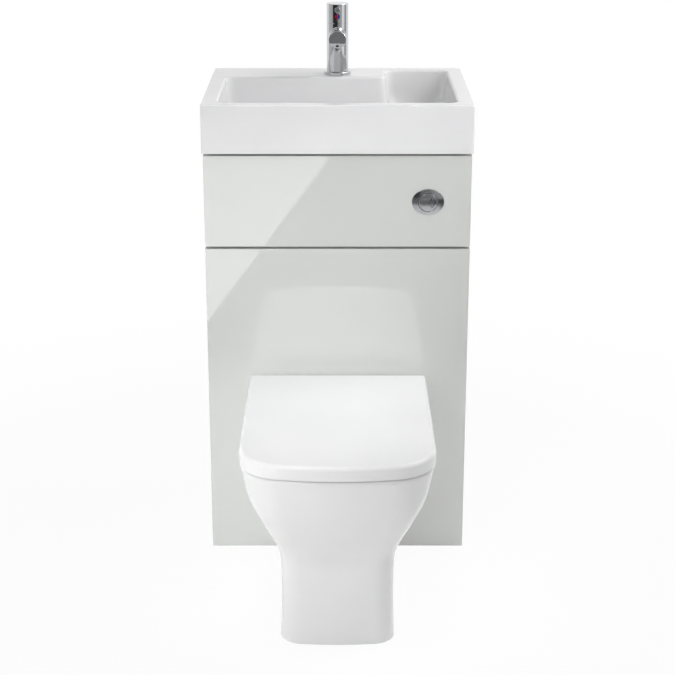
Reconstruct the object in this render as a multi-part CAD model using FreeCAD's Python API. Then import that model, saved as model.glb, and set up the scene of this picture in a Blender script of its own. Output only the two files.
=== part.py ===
import FreeCAD, Part
import math
import os

# Combined toilet and basin, in millimetres: +Z up, the front faces -Y, the wall is the plane y = wall_y.
# p is the distance in front of the panel face, so it is negative inside the unit.

# Shared
overrun = 2.0
hair = 0.01
slip = 0.3
running_fit = 0.08
close_fit = 0.05
nut_sides = 6

# Overall
basin_width = 500.0
basin_side_overhang = 2.5
basin_front_overhang = 9.0
basin_height = 90.0
basin_rim_z = 890.0
carcass_depth = 371.0
pan_projection = 479.0

# Carcass boards
side_board = 16.0
front_board = 18.0
rail_board = 16.0
upper_panel_height = 174.0
panel_gap = 4.6
basin_shadow_gap = 5.7
panel_edge_round = 1.2
top_rail_height = 58.0
middle_rail_height = 90.0
bottom_rail_height = 70.0
top_rear_rail_lap = 40.0
low_rear_rail_height = 70.0
low_rear_rail_z = 265.0
skirting_notch_depth = 24.0
skirting_notch_height = 150.0
shelf_board = 16.0
shelf_top_z = 425.0
screw_shank_radius = 3.0
screw_head_radius = 5.0
screw_head_depth = 3.0
screw_length = 45.0
screw_inset = 16.0
peg_radius = 5.0
peg_in_panel = 11.0
peg_in_rail = 12.0
peg_inset_x = 60.0
bracket_plate = 2.5
bracket_leg = 40.0
bracket_height = 50.0
bracket_z = 600.0
bracket_hole_radius = 3.5

# Basin
basin_wall = 12.0
basin_deck = 14.0
basin_corner_round = 5.0
basin_edge_round = 2.5
bowl_wall = 9.0
bowl_depth = 76.0
bowl_side_rim = 30.0
bowl_front_rim = 28.0
bowl_back_rim = 30.0
bowl_round = 17.0
bowl_lip_round = 5.0
ledge_depth = 102.0
recess_width = 125.0
ledge_round = 14.0
bowl_inset = 26.0
bowl_depth_shares = (0.0, 0.30, 0.60, 0.82, 0.94, 1.0)
bowl_inset_shares = (0.0, 0.06, 0.14, 0.32, 0.58, 1.0)
bowl_round_growth_share = 0.4

# Tap
tap_setback = 66.0
tap_hole_radius = 17.5
tap_radius = 21.5
tap_body_height = 103.0
tap_gasket_thickness = 1.5
tap_gasket_bore = 15.5
base_ring_radius = 27.0
base_ring_height = 7.0
base_ring_round = 1.2
spout_radius = 17.0
spout_reach = 96.0
spout_height = 75.0
spout_rise_deg = 5.0
spout_lip = 10.0
spout_bore = 6.5
spout_blend = 3.0
spout_end_round = 1.0
aerator_radius = 6.0
aerator_depth = 5.0
aerator_hole_radius = 3.5
cartridge_radius = 17.5
cartridge_depth = 32.0
cartridge_nut_depth = 4.0
cartridge_nut_bore = 9.0
stem_radius = 6.0
stem_socket_depth = 12.0
stem_above_pivot = 7.0
pivot_height = 14.0
pivot_pin_radius = 1.5
pivot_pin_length = 34.0
head_gap = 0.6
head_height = 38.0
head_cavity_radius = 12.5
head_cavity_above_pivot = 12.0
head_edge_round = 1.0
lift_deg = 18.0
lift_spare_deg = 2.0
lever_radius = 5.5
lever_reach = 45.0
lever_socket_depth = 9.0
lever_height = 27.0
lever_rise_deg = 8.0
lever_edge_round = 0.8
marker_radius = 4.9
marker_height = 14.0
marker_depth = 3.0
stud_radius = 4.0
stud_in_body = 20.0
stud_drop = 70.0
stud_back = 9.0
tail_radius = 4.5
tail_end_radius = 5.0
tail_end_length = 50.0
tail_in_body = 15.0
tail_room = 48.0
tail_spread = 7.0
inlet_way_radius = 3.5
tail_front = 6.0
clamp_radius = 25.0
clamp_thickness = 4.0
clamp_slot_half_width = 13.5
tap_nut_radius = 7.5
tap_nut_height = 7.0

# Basin waste and bottle trap
waste_flange_radius = 32.0
waste_flange_thickness = 3.0
waste_tube_radius = 20.5
waste_bore = 16.0
waste_length = 75.0
waste_hole_gap = 0.5
waste_seal_radius = 30.0
waste_upper_seal = 1.5
waste_lower_seal = 4.0
waste_nut_radius = 31.0
waste_nut_height = 12.0
waste_bar_width = 12.0
waste_bar_height = 6.0
waste_bar_drop = 38.0
plug_radius = 29.0
plug_thickness = 4.5
plug_edge_round = 2.5
plug_stem_radius = 4.0
plug_stem_tail = 8.0
trap_radius = 26.0
trap_wall = 3.0
trap_height = 76.0
trap_neck = 5.0
trap_dip_radius = 15.0
trap_dip_below_body = 42.0
trap_cup_height = 76.0
trap_cup_lap = 16.0
trap_cup_wall = 3.5
trap_cup_round = 6.0
trap_outlet_radius = 20.0
trap_outlet_bore = 15.5
trap_socket_bore = 18.0
trap_socket_length = 30.0
trap_outlet_drop = 36.0
trap_outlet_length = 84.0
trap_nut_radius = 28.0
trap_nut_height = 22.0

# Flush button
button_inset = 80.0
bezel_half_width = 30.0
bezel_half_height = 24.5
bezel_thickness = 5.0
bezel_rim_thickness = 1.6
bezel_edge_round = 0.7
button_radius = 17.0
button_gap = 0.9
button_proud = 1.5
button_thickness = 6.0
button_edge_round = 0.9
button_travel = 5.0
lens_half_height = 9.5
lens_half_width = 3.5
lens_offset = 7.5
lens_gap = 0.8
lens_edge_round = 0.5
housing_radius = 19.5
housing_depth = 34.0
housing_hole_gap = 0.5
piston_radius = 4.0
half_piston_radius = 2.2
piston_reach = 10.0
piston_spare = 2.0
full_piston_offset = -6.0
housing_nut_radius = 27.0
housing_nut_thickness = 8.0
nipple_radius = 2.5
nipple_length = 9.0

# Cistern
tank_width = 350.0
tank_depth = 150.0
tank_height = 305.0
tank_wall = 4.0
tank_corner_round = 14.0
tank_lid_lap = 10.0
tank_lid_gap = 0.6
tank_screw_inset = 45.0
tank_screw_drop = 22.0
tank_screw_head = 7.0
tank_screw_length = 17.0
valve_base_radius = 40.0
valve_base_height = 18.0
valve_tail_radius = 29.0
valve_tail_drop = 44.0
valve_throat_radius = 26.0
valve_cage_radius = 34.0
valve_cage_wall = 3.0
valve_cage_height = 130.0
valve_window_half_width = 14.0
valve_window_margin = 14.0
valve_guide_height = 10.0
plunger_seal_radius = 29.0
plunger_seal_thickness = 4.0
plunger_disc_thickness = 5.0
plunger_tube_radius = 13.0
plunger_tube_bore = 10.5
plunger_room = 68.0
backnut_height = 13.0
valve_nut_radius = 40.0
fill_inset = 55.0
fill_shank_radius = 10.8
fill_thread_radius = 10.4
fill_shank_drop = 52.0
fill_flange_radius = 18.0
fill_flange_height = 6.0
fill_riser_radius = 13.0
fill_head_room = 48.0
fill_head_radius = 22.0
fill_head_height = 28.0
fill_nut_radius = 17.0
fill_stop_radius = 19.0
fill_stop_height = 6.0
float_radius = 29.0
float_height = 78.0
float_travel = 18.0
float_room = 3.0
flush_pipe_radius = 20.0
flush_pipe_wall = 2.0
flush_pipe_lap = 18.0
flush_bend_radius = 55.0
flush_bend_middle_deg = 45.0
flush_hole_gap = 6.0
flush_end_p = 38.0
cone_length = 30.0
cone_collar = 6.0
cone_collar_length = 8.0

# Pan
pan_rim_z = 361.0
pan_rim_half_width = 164.0
pan_rim_inset = 1.5
pan_rim_corner = 79.0
pan_front_arc = 600.0
foot_half_width = 99.0
foot_front = 373.0
foot_corner = 38.0
china_wall = 12.0
rim_thickness = 18.0
rim_round = 6.0
mouth_round = 7.0
pan_height_shares = (0.0, 0.08, 0.20, 0.34, 0.43, 0.51, 0.59, 0.67, 0.76, 0.85, 0.93, 1.0)
pan_width_shares = (0.038, 0.02, 0.0, 0.0, 0.018, 0.105, 0.29, 0.485, 0.70, 0.85, 0.93, 1.0)
pan_front_shares = (0.015, 0.0, 0.0, 0.015, 0.06, 0.18, 0.36, 0.545, 0.73, 0.87, 0.95, 1.0)
bowl_mouth_half_width = 116.0
bowl_mouth_half_length = 156.0
bowl_mouth_p = 281.0
sump_half_width = 30.0
sump_half_length = 33.0
sump_p = 205.0
sump_z = 32.0
pan_bowl_height_shares = (0.0, 0.11, 0.24, 0.38, 0.54, 0.70, 0.85, 1.0)
pan_bowl_size_shares = (0.0, 0.14, 0.26, 0.42, 0.63, 0.82, 0.93, 1.0)
trapway_bore = 38.0
trapway_wall = 10.0
trapway_low_z = 74.0
trapway_turn_p = 118.0
trapway_knee_p = 74.0
outlet_z = 180.0
spigot_radius = 51.0
spigot_length = 92.0
spigot_root_p = 30.0
panel_hole_gap = 6.0
inlet_z = 300.0
inlet_bore = 27.5
inlet_wall = 9.0
inlet_start_p = 12.0
inlet_end_p = 150.0
connector_lap = 45.0
connector_wall = 4.0
connector_seal_gap = 3.0
connector_tail_radius = 55.0
connector_cone = 20.0
fixing_p = 150.0
fixing_z = 36.0
fixing_bore = 5.0
fixing_plate = 4.0
fixing_leg = 45.0
fixing_width = 40.0
fixing_height = 60.0
fixing_hole_radius = 4.0
fixing_cap_radius = 8.0
fixing_cap_depth = 3.0
fixing_cap_proud = 1.0
fixing_screw_radius = 3.0
fixing_head_radius = 7.0

# Seat and lid
lid_half_width = 165.5
lid_corner = 80.0
lid_top_z = 388.0
lid_gap = 2.5
lid_plate = 5.0
lid_skirt = 4.0
lid_edge_round = 7.0
hinge_p = 66.5
barrel_radius = 12.5
slot_cover = 2.8
post_start_x = 63.0
post_width = 25.0
post_radius = 9.0
post_neck_half = 6.0
post_base_half = 16.0
post_base_height = 4.0
knuckle_width = 15.0
hinge_side_gap = 1.0
hinge_pin_radius = 3.5
hinge_pin_in_lid = 18.0
hinge_stud_radius = 3.0
hinge_stud_drop = 46.0
hinge_hole_radius = 5.5
hinge_nut_radius = 11.0
hinge_nut_height = 12.0
slot_rise = 8.8
slot_neck_room = 1.5
seat_clear = 2.5
seat_back_p = 84.0
seat_lift = 5.0
seat_thickness = 15.0
seat_edge_round = 4.5
seat_mouth_half_width = 108.0
seat_mouth_half_length = 142.0
seat_mouth_p = 279.0
seat_corner_back = 30.0
buffer_radius = 8.0
lid_buffer_radius = 6.0
buffer_front_p = 440.0
buffer_rear_p = 130.0
buffer_x = 130.0
buffer_front_x = 60.0

# Places that follow from the sizes above
carcass_width = basin_width - basin_side_overhang - basin_side_overhang
wall_y = (carcass_depth + pan_projection) / 2
panel_y = wall_y - carcass_depth
carcass_top_z = basin_rim_z - basin_height
inner_x = carcass_width / 2 - side_board
panel_back_p = -front_board
wall_p = -carcass_depth
basin_front_p = basin_front_overhang
upper_panel_top = carcass_top_z - basin_shadow_gap
upper_panel_low = upper_panel_top - upper_panel_height
lower_panel_top = upper_panel_low - panel_gap
button_x = carcass_width / 2 - button_inset
button_z = (upper_panel_top + upper_panel_low) / 2
tap_p = wall_p + tap_setback
tap_top_z = basin_rim_z + tap_body_height
pivot_z = tap_top_z + pivot_height
deck_under_z = basin_rim_z - basin_deck
bowl_floor_z = basin_rim_z - bowl_depth
bowl_under_z = bowl_floor_z - bowl_wall
ledge_end_x = basin_width / 2 - bowl_side_rim - recess_width
bowl_front_p = basin_front_p - bowl_front_rim
bowl_ledge_p = wall_p + ledge_depth
waste_p = (bowl_front_p + bowl_ledge_p) / 2
flange_low_z = bowl_floor_z + waste_upper_seal
flange_top_z = flange_low_z + waste_flange_thickness
waste_end_z = bowl_floor_z - waste_length
trap_top_z = waste_end_z - trap_neck
trap_low_z = trap_top_z - trap_height
trap_outlet_z = trap_top_z - trap_outlet_drop
tank_back_p = wall_p + rail_board
tank_front_p = tank_back_p + tank_depth
tank_p = (tank_back_p + tank_front_p) / 2
tank_screw_spread = tank_width / 2 - tank_screw_inset
fill_x = tank_width / 2 - fill_inset
tank_floor_z = shelf_top_z + tank_wall
tank_top_z = shelf_top_z + tank_height
valve_seat_z = tank_floor_z + valve_base_height
cage_top_z = valve_seat_z + valve_cage_height
pan_rim_front = pan_projection - pan_rim_inset
hinge_z = lid_top_z - barrel_radius
seat_low_z = pan_rim_z + seat_lift
seat_top_z = seat_low_z + seat_thickness
lid_under_z = lid_top_z - lid_plate
skirt_low_z = pan_rim_z + lid_gap
knuckle_start_x = post_start_x + post_width + hinge_side_gap
slot_start_x = post_start_x - hinge_side_gap
slot_end_x = knuckle_start_x + knuckle_width + hinge_side_gap
lid_inner_half = lid_half_width - lid_skirt
slot_radius = barrel_radius - slot_cover


def at(x, p, z):
    """A point x to the right, p in front of the panel face and z above the floor."""
    return FreeCAD.Vector(x, panel_y - p, z)


def block(x0, x1, p0, p1, z0, z1):
    """A block from x0 to x1, from p0 at the back to p1 at the front and from z0 to z1."""
    return Part.makeBox(x1 - x0, p1 - p0, z1 - z0, at(x0, p1, z0))


def rod(radius, start, end):
    """A round bar from start to end."""
    axis = end - start
    return Part.makeCylinder(radius, axis.Length, start, axis)


def ring(outer, bore, start, end):
    """A tube from start to end."""
    return rod(outer, start, end).cut(rod(bore, start, end))


def upright(radius, x, p, z0, z1):
    """An upright round bar from z0 to z1."""
    return rod(radius, at(x, p, z0), at(x, p, z1))


def collar(outer, bore, x, p, z0, z1):
    """An upright tube from z0 to z1."""
    return ring(outer, bore, at(x, p, z0), at(x, p, z1))


def hex_nut(corner_radius, bore, start, end):
    """A six-sided nut with a plain bore, from start to end."""
    axis = end - start
    turn = FreeCAD.Rotation(FreeCAD.Vector(0, 0, 1), axis)
    angles = [math.tau * side / nut_sides for side in range(nut_sides + 1)]
    flat = [FreeCAD.Vector(corner_radius * math.cos(a), corner_radius * math.sin(a), 0) for a in angles]
    wire = Part.makePolygon([start + turn.multVec(point) for point in flat])
    return Part.Face(wire).extrude(axis).cut(rod(bore, start, end))


def joined(*shapes):
    """All shapes as one solid."""
    return shapes[0].multiFuse(list(shapes[1:])).removeSplitter()


def both_sides(shape):
    """A shape and its mirror image across the middle plane."""
    return [shape, shape.mirror(FreeCAD.Vector(0, 0, 0), FreeCAD.Vector(1, 0, 0))]


def rounded(shape, radius, chosen):
    """A shape with the edges that chosen picks rounded off."""
    return shape.makeFillet(radius, [edge for edge in shape.Edges if chosen(edge)])


def level_edges(z):
    """A test for the edges that lie flat at height z."""
    return lambda edge: edge.BoundBox.ZMin > z - hair and edge.BoundBox.ZMax < z + hair


def upright_edges(edge):
    """Whether an edge runs straight up."""
    box = edge.BoundBox
    return box.XLength < hair and box.YLength < hair and box.ZLength > hair


def save(name, *shapes):
    """Write the solids of one named piece."""
    solids = [solid for shape in shapes for solid in shape.Solids]
    shape = solids[0] if len(solids) == 1 else Part.makeCompound(solids)
    if not shape.isValid():
        print("not valid:", name)
    shape.exportStep(f"parts/{name}.step")


def rounded_outline(corners, z):
    """A closed flat outline through (x, p, radius) corners, each rounded by its radius."""
    edges = []
    starts = []
    ends = []
    count = len(corners)
    for i, (x, p, radius) in enumerate(corners):
        here = at(x, p, z)
        back = (at(*corners[i - 1][:2], z) - here).normalize()
        ahead = (at(*corners[(i + 1) % count][:2], z) - here).normalize()
        half = back.getAngle(ahead) / 2
        inward = (back + ahead).normalize()
        centre = here + inward * (radius / math.sin(half))
        start = here + back * (radius / math.tan(half))
        end = here + ahead * (radius / math.tan(half))
        edges.append(Part.Arc(start, centre - inward * radius, end).toShape())
        starts.append(start)
        ends.append(end)
    outline = []
    for i in range(count):
        outline.append(edges[i])
        outline.append(Part.LineSegment(ends[i], starts[(i + 1) % count]).toShape())
    return Part.Wire(outline)


def shield_outline(half_width, back, front, corner, front_arc, z):
    """A straight-sided outline with a gently arched front and round front corners, seen from above."""
    side = half_width - corner
    reach = front_arc - corner
    drop = math.sqrt(reach * reach - side * side)
    arc_p = front - front_arc
    corner_p = arc_p + drop
    lean = math.atan2(drop, side)
    touch_x = front_arc * math.cos(lean)
    touch_p = arc_p + front_arc * math.sin(lean)
    mid_x = side + corner * math.cos(lean / 2)
    mid_p = corner_p + corner * math.sin(lean / 2)
    right = Part.Arc(at(half_width, corner_p, z), at(mid_x, mid_p, z), at(touch_x, touch_p, z))
    middle = Part.Arc(at(touch_x, touch_p, z), at(0, front, z), at(-touch_x, touch_p, z))
    left = Part.Arc(at(-touch_x, touch_p, z), at(-mid_x, mid_p, z), at(-half_width, corner_p, z))
    left_side = Part.LineSegment(at(-half_width, corner_p, z), at(-half_width, back, z))
    rear = Part.LineSegment(at(-half_width, back, z), at(half_width, back, z))
    right_side = Part.LineSegment(at(half_width, back, z), at(half_width, corner_p, z))
    curves = (right, middle, left, left_side, rear, right_side)
    return Part.Wire([curve.toShape() for curve in curves])


def oval(half_width, half_length, p, z):
    """A flat oval outline, half_width across and half_length front to back."""
    long_way = at(0, p + half_length, z)
    short_way = at(half_width, p, z)
    if half_width > half_length:
        long_way, short_way = short_way, long_way
    return Part.Wire([Part.Ellipse(long_way, short_way, at(0, p, z)).toShape()])


def prism(wire, height):
    """A flat outline raised straight up."""
    return Part.Face(wire).extrude(FreeCAD.Vector(0, 0, height))


def side_profile(points, half_width):
    """A profile of (p, z) points pulled across the middle plane to half_width on each side."""
    wire = Part.makePolygon([at(-half_width, p, z) for p, z in points + points[:1]])
    return Part.Face(wire).extrude(FreeCAD.Vector(half_width + half_width, 0, 0))


def rail_boards():
    """The cross boards of the carcass as (name, back p, front p, low z, top z)."""
    front_back = panel_back_p - rail_board
    middle_z = (lower_panel_top + upper_panel_low) / 2
    rear_front = wall_p + rail_board
    half = middle_rail_height / 2
    return (
        ("front", front_back, panel_back_p, carcass_top_z - top_rail_height, carcass_top_z),
        ("front", front_back, panel_back_p, middle_z - half, middle_z + half),
        ("front", front_back, panel_back_p, 0, bottom_rail_height),
        ("rear", wall_p, rear_front, tank_top_z - top_rear_rail_lap, carcass_top_z),
        ("rear", wall_p, rear_front, low_rear_rail_z, low_rear_rail_z + low_rear_rail_height),
        ("shelf", tank_back_p, tank_front_p, shelf_top_z - shelf_board, shelf_top_z),
    )


def screw_places():
    """The (p, z) of each connecting screw on a side of the carcass."""
    places = []
    for name, back, front, low, top in rail_boards():
        if name == "shelf":
            places += [(back + screw_inset, (low + top) / 2), (front - screw_inset, (low + top) / 2)]
        else:
            places += [((back + front) / 2, low + screw_inset), ((back + front) / 2, top - screw_inset)]
    return places


def carcass_screw(p, z, gap):
    """A countersunk screw from outside the right-hand side panel, gap larger all round."""
    outside = carcass_width / 2
    shank = rod(screw_shank_radius + gap, at(outside, p, z), at(outside - screw_length - gap, p, z))
    inward = FreeCAD.Vector(-1, 0, 0)
    wide = screw_head_radius + gap
    head = Part.makeCone(wide, screw_shank_radius + gap, screw_head_depth, at(outside, p, z), inward)
    return joined(head, shank)


def screw_holes(shape):
    """A carcass board with the holes of the connecting screws."""
    tools = [tool for p, z in screw_places() for tool in both_sides(carcass_screw(p, z, close_fit))]
    return shape.cut(tools)


def peg_places():
    """The (x, z) of the pegs that hold the removable upper panel."""
    low = upper_panel_low + screw_inset
    top = upper_panel_top - screw_inset
    return [(side * (inner_x - peg_inset_x), z) for side in (-1, 1) for z in (low, top)]


def panel_peg(x, z, gap):
    """A push-in peg across the joint of the upper panel and a rail, gap larger all round."""
    start = at(x, panel_back_p + peg_in_panel + gap, z)
    return rod(peg_radius + gap, start, at(x, panel_back_p - peg_in_rail - gap, z))


def panel_hole(radius, x, z):
    """A round cut right through a front panel."""
    return rod(radius, at(x, overrun, z), at(x, panel_back_p - overrun, z))


def make_carcass():
    """Side panels, front panels, rails, shelf and their fixings."""
    outside = carcass_width / 2
    side = block(inner_x, outside, wall_p, panel_back_p, 0, carcass_top_z)
    notch_front = wall_p + skirting_notch_depth
    past = outside + overrun
    notch = block(inner_x - overrun, past, wall_p - overrun, notch_front, -overrun, skirting_notch_height)
    right, left = both_sides(screw_holes(side.cut(notch)))
    save("side_panel_right", right)
    save("side_panel_left", left)

    pegs = [panel_peg(x, z, 0) for x, z in peg_places()]
    peg_holes = [panel_peg(x, z, close_fit) for x, z in peg_places()]
    boards = {"front": [], "rear": [], "shelf": []}
    for name, back, front, low, top in rail_boards():
        boards[name].append(screw_holes(block(-inner_x, inner_x, back, front, low, top)).cut(peg_holes))
    tank_screws = [tank_screw(x, close_fit) for x in (-tank_screw_spread, tank_screw_spread)]
    shelf_holes = [
        upright(valve_nut_radius + waste_hole_gap, 0, tank_p, 0, shelf_top_z + overrun),
        upright(fill_nut_radius + waste_hole_gap, fill_x, tank_p, 0, shelf_top_z + overrun),
    ]
    save("front_rails", *boards["front"])
    save("rear_rails", *[board.cut(tank_screws) for board in boards["rear"]])
    save("cistern_shelf", boards["shelf"][0].cut(shelf_holes))
    screws = [screw for p, z in screw_places() for screw in both_sides(carcass_screw(p, z, 0))]
    save("carcass_screws", *screws)
    save("panel_pegs", *pegs)

    front_edges = lambda edge: edge.BoundBox.YMax < panel_y + hair
    lower = block(-outside, outside, panel_back_p, 0, 0, lower_panel_top)
    lower = rounded(lower, panel_edge_round, front_edges)
    soil_hole = panel_hole(spigot_radius + panel_hole_gap, 0, outlet_z)
    flush_hole = panel_hole(flush_pipe_radius + flush_hole_gap, 0, inlet_z)
    save("lower_front_panel", lower.cut([soil_hole, flush_hole]))

    upper = block(-outside, outside, panel_back_p, 0, upper_panel_low, upper_panel_top)
    upper = rounded(upper, panel_edge_round, front_edges)
    button_hole = panel_hole(housing_radius + housing_hole_gap, button_x, button_z)
    save("upper_front_panel", upper.cut(peg_holes + [button_hole]))

    side_leg_x = inner_x - bracket_plate
    wall_leg_x = inner_x - bracket_leg
    leg_p = wall_p + bracket_leg
    plate_p = wall_p + bracket_plate
    top = bracket_z + bracket_height
    hole_x = (wall_leg_x + side_leg_x) / 2
    hole_z = bracket_z + bracket_height / 2
    hole_end = at(hole_x, plate_p + overrun, hole_z)
    hole = rod(bracket_hole_radius, at(hole_x, wall_p - overrun, hole_z), hole_end)
    bracket = joined(
        block(side_leg_x, inner_x, wall_p, leg_p, bracket_z, top),
        block(wall_leg_x, inner_x, wall_p, plate_p, bracket_z, top),
    )
    save("wall_brackets", *both_sides(bracket.cut(hole)))


def bowl_section(inset, z):
    """The outline of the L-shaped bowl, drawn in by inset."""
    left = bowl_side_rim - basin_width / 2 + inset
    right = basin_width / 2 - bowl_side_rim - inset
    step = ledge_end_x + inset
    front = bowl_front_p - inset
    ledge = bowl_ledge_p + inset
    back = wall_p + bowl_back_rim + inset
    inner = bowl_round + inset * bowl_round_growth_share
    outer = ledge_round + inset
    corners = (
        (left, front, inner),
        (right, front, inner),
        (right, back, inner),
        (step, back, inner),
        (step, ledge, outer),
        (left, ledge, inner),
    )
    return rounded_outline(corners, z)


def bowl_form(wall):
    """The space of the bowl, or with a wall the outside of its shell."""
    wires = []
    for depth_share, inset_share in zip(bowl_depth_shares, bowl_inset_shares):
        z = basin_rim_z - depth_share * (bowl_depth + wall)
        wires.append(bowl_section(inset_share * bowl_inset - wall, z))
    return Part.makeLoft(wires, True)


def make_basin():
    """The cast basin: apron, deck, bowl shell, tap hole and waste hole."""
    half = basin_width / 2
    outer = block(-half, half, wall_p, basin_front_p, carcass_top_z, basin_rim_z)
    outer = rounded(outer, basin_corner_round, upright_edges)
    outer = rounded(outer, basin_edge_round, level_edges(basin_rim_z))
    inside = half - basin_wall
    void_front = basin_front_p - basin_wall
    low = carcass_top_z - overrun
    void = block(-inside, inside, wall_p + basin_wall, void_front, low, deck_under_z)
    mouth = prism(bowl_section(0, basin_rim_z - overrun), overrun + overrun)
    tap_hole = upright(tap_hole_radius, 0, tap_p, deck_under_z - overrun, basin_rim_z + overrun)
    waste_hole_radius = waste_tube_radius + waste_hole_gap
    waste_hole = upright(waste_hole_radius, 0, waste_p, low, bowl_floor_z + overrun)
    shell = joined(outer.cut(void), bowl_form(bowl_wall))
    shell = shell.cut(bowl_form(0)).cut(mouth)
    bowl_front_y = panel_y - bowl_front_p
    left_x = bowl_side_rim - half
    mouth_edges = lambda edge: (
        level_edges(basin_rim_z)(edge)
        and edge.BoundBox.XMin > left_x - hair
        and edge.BoundBox.XMax < hair - left_x
        and edge.BoundBox.YMin > bowl_front_y - hair
        and edge.BoundBox.YMax < wall_y - bowl_back_rim + hair
    )
    save("basin", rounded(shell, bowl_lip_round, mouth_edges).cut([tap_hole, waste_hole]))


def make_waste():
    """Waste outlet with its push plug, and the bottle trap below it."""
    bar_z = bowl_floor_z - waste_bar_drop
    flange = upright(waste_flange_radius, 0, waste_p, flange_low_z, flange_top_z)
    tube = upright(waste_tube_radius, 0, waste_p, waste_end_z, flange_low_z)
    bore = upright(waste_bore, 0, waste_p, waste_end_z - overrun, flange_top_z + overrun)
    half_bar = waste_bar_width / 2
    bar_front = waste_p + half_bar
    bar_low = bar_z - waste_bar_height
    bar_half_length = waste_bore + hair
    bar = block(-bar_half_length, bar_half_length, waste_p - half_bar, bar_front, bar_low, bar_z)
    stem_bore = upright(plug_stem_radius + running_fit, 0, waste_p, bar_low - overrun, bar_z + overrun)
    body = joined(joined(flange, tube).cut(bore), bar)
    save("waste_body", body.cut(stem_bore))

    seal_bore = waste_tube_radius + close_fit
    lower_seal_z = bowl_under_z - waste_lower_seal
    upper_seal = collar(waste_seal_radius, seal_bore, 0, waste_p, bowl_floor_z, flange_low_z)
    lower_seal = collar(waste_seal_radius, seal_bore, 0, waste_p, lower_seal_z, bowl_under_z)
    save("waste_seals", upper_seal, lower_seal)
    nut_low = lower_seal_z - waste_nut_height
    backnut = hex_nut(waste_nut_radius, seal_bore, at(0, waste_p, nut_low), at(0, waste_p, lower_seal_z))

    plug_top = flange_top_z + plug_thickness
    cap = upright(plug_radius, 0, waste_p, flange_top_z, plug_top)
    cap = rounded(cap, plug_edge_round, level_edges(plug_top))
    stem_low = bar_low - plug_stem_tail
    save("waste_plug", joined(cap, upright(plug_stem_radius, 0, waste_p, stem_low, flange_top_z)))

    neck = upright(waste_tube_radius, 0, waste_p, trap_top_z, waste_end_z)
    bottle = upright(trap_radius, 0, waste_p, trap_low_z, trap_top_z)
    hollow = upright(trap_radius - trap_wall, 0, waste_p, trap_low_z - overrun, trap_top_z - trap_wall)
    outlet_start = at(0, waste_p, trap_outlet_z)
    outlet_end = at(trap_outlet_length, waste_p, trap_outlet_z)
    branch = rod(trap_outlet_radius, outlet_start, outlet_end)
    past_end = at(trap_outlet_length + overrun, waste_p, trap_outlet_z)
    socket_start = at(trap_outlet_length - trap_socket_length, waste_p, trap_outlet_z)
    water_bore = rod(trap_outlet_bore, outlet_start, past_end)
    branch_bore = joined(water_bore, rod(trap_socket_bore, socket_start, past_end))
    dip_low = trap_low_z - trap_dip_below_body
    dip = upright(trap_dip_radius, 0, waste_p, dip_low, trap_top_z)
    dip_bore = upright(trap_dip_radius - trap_wall, 0, waste_p, dip_low - overrun, waste_end_z + overrun)
    trap = joined(joined(neck, bottle, branch).cut([hollow, branch_bore]), dip).cut(dip_bore)
    save("trap_body", trap)

    cup_top = trap_low_z + trap_cup_lap
    cup_low = cup_top - trap_cup_height
    cup_radius = trap_radius + trap_cup_wall
    cup = rounded(upright(cup_radius, 0, waste_p, cup_low, cup_top), trap_cup_round, level_edges(cup_low))
    lap = upright(trap_radius + close_fit, 0, waste_p, trap_low_z, cup_top + overrun)
    hold = upright(trap_radius - trap_wall, 0, waste_p, cup_low + trap_cup_wall, cup_top)
    save("trap_cup", cup.cut([lap, hold]))

    nut_bore = waste_tube_radius + close_fit
    half_nut = trap_nut_height / 2
    union_top = at(0, waste_p, trap_top_z + trap_nut_height)
    union = hex_nut(trap_nut_radius, nut_bore, at(0, waste_p, trap_top_z), union_top)
    nut_end = trap_outlet_length - trap_neck
    outlet_nut = hex_nut(
        trap_nut_radius - trap_wall,
        trap_outlet_radius + close_fit,
        at(nut_end - half_nut, waste_p, trap_outlet_z),
        at(nut_end, waste_p, trap_outlet_z),
    )
    save("waste_nuts", backnut, union, outlet_nut)


def tilted(shape, p, z, degrees):
    """A shape turned about a cross line through (p, z), the front going up."""
    return shape.rotated(at(0, p, z), FreeCAD.Vector(-1, 0, 0), degrees)


def tap_tails(gap):
    """The two copper inlet tails of the tap, wider at their lower ends, gap larger all round."""
    top = basin_rim_z + tap_gasket_thickness + tail_in_body + gap
    low = tank_top_z + tank_wall + tail_room
    wide_top = low + tail_end_length
    tail_p = tap_p + tail_front
    tails = []
    for x in (-tail_spread, tail_spread):
        narrow = upright(tail_radius + gap, x, tail_p, wide_top, top)
        tails.append(joined(narrow, upright(tail_end_radius + gap, x, tail_p, low, wide_top)))
    return tails


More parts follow.
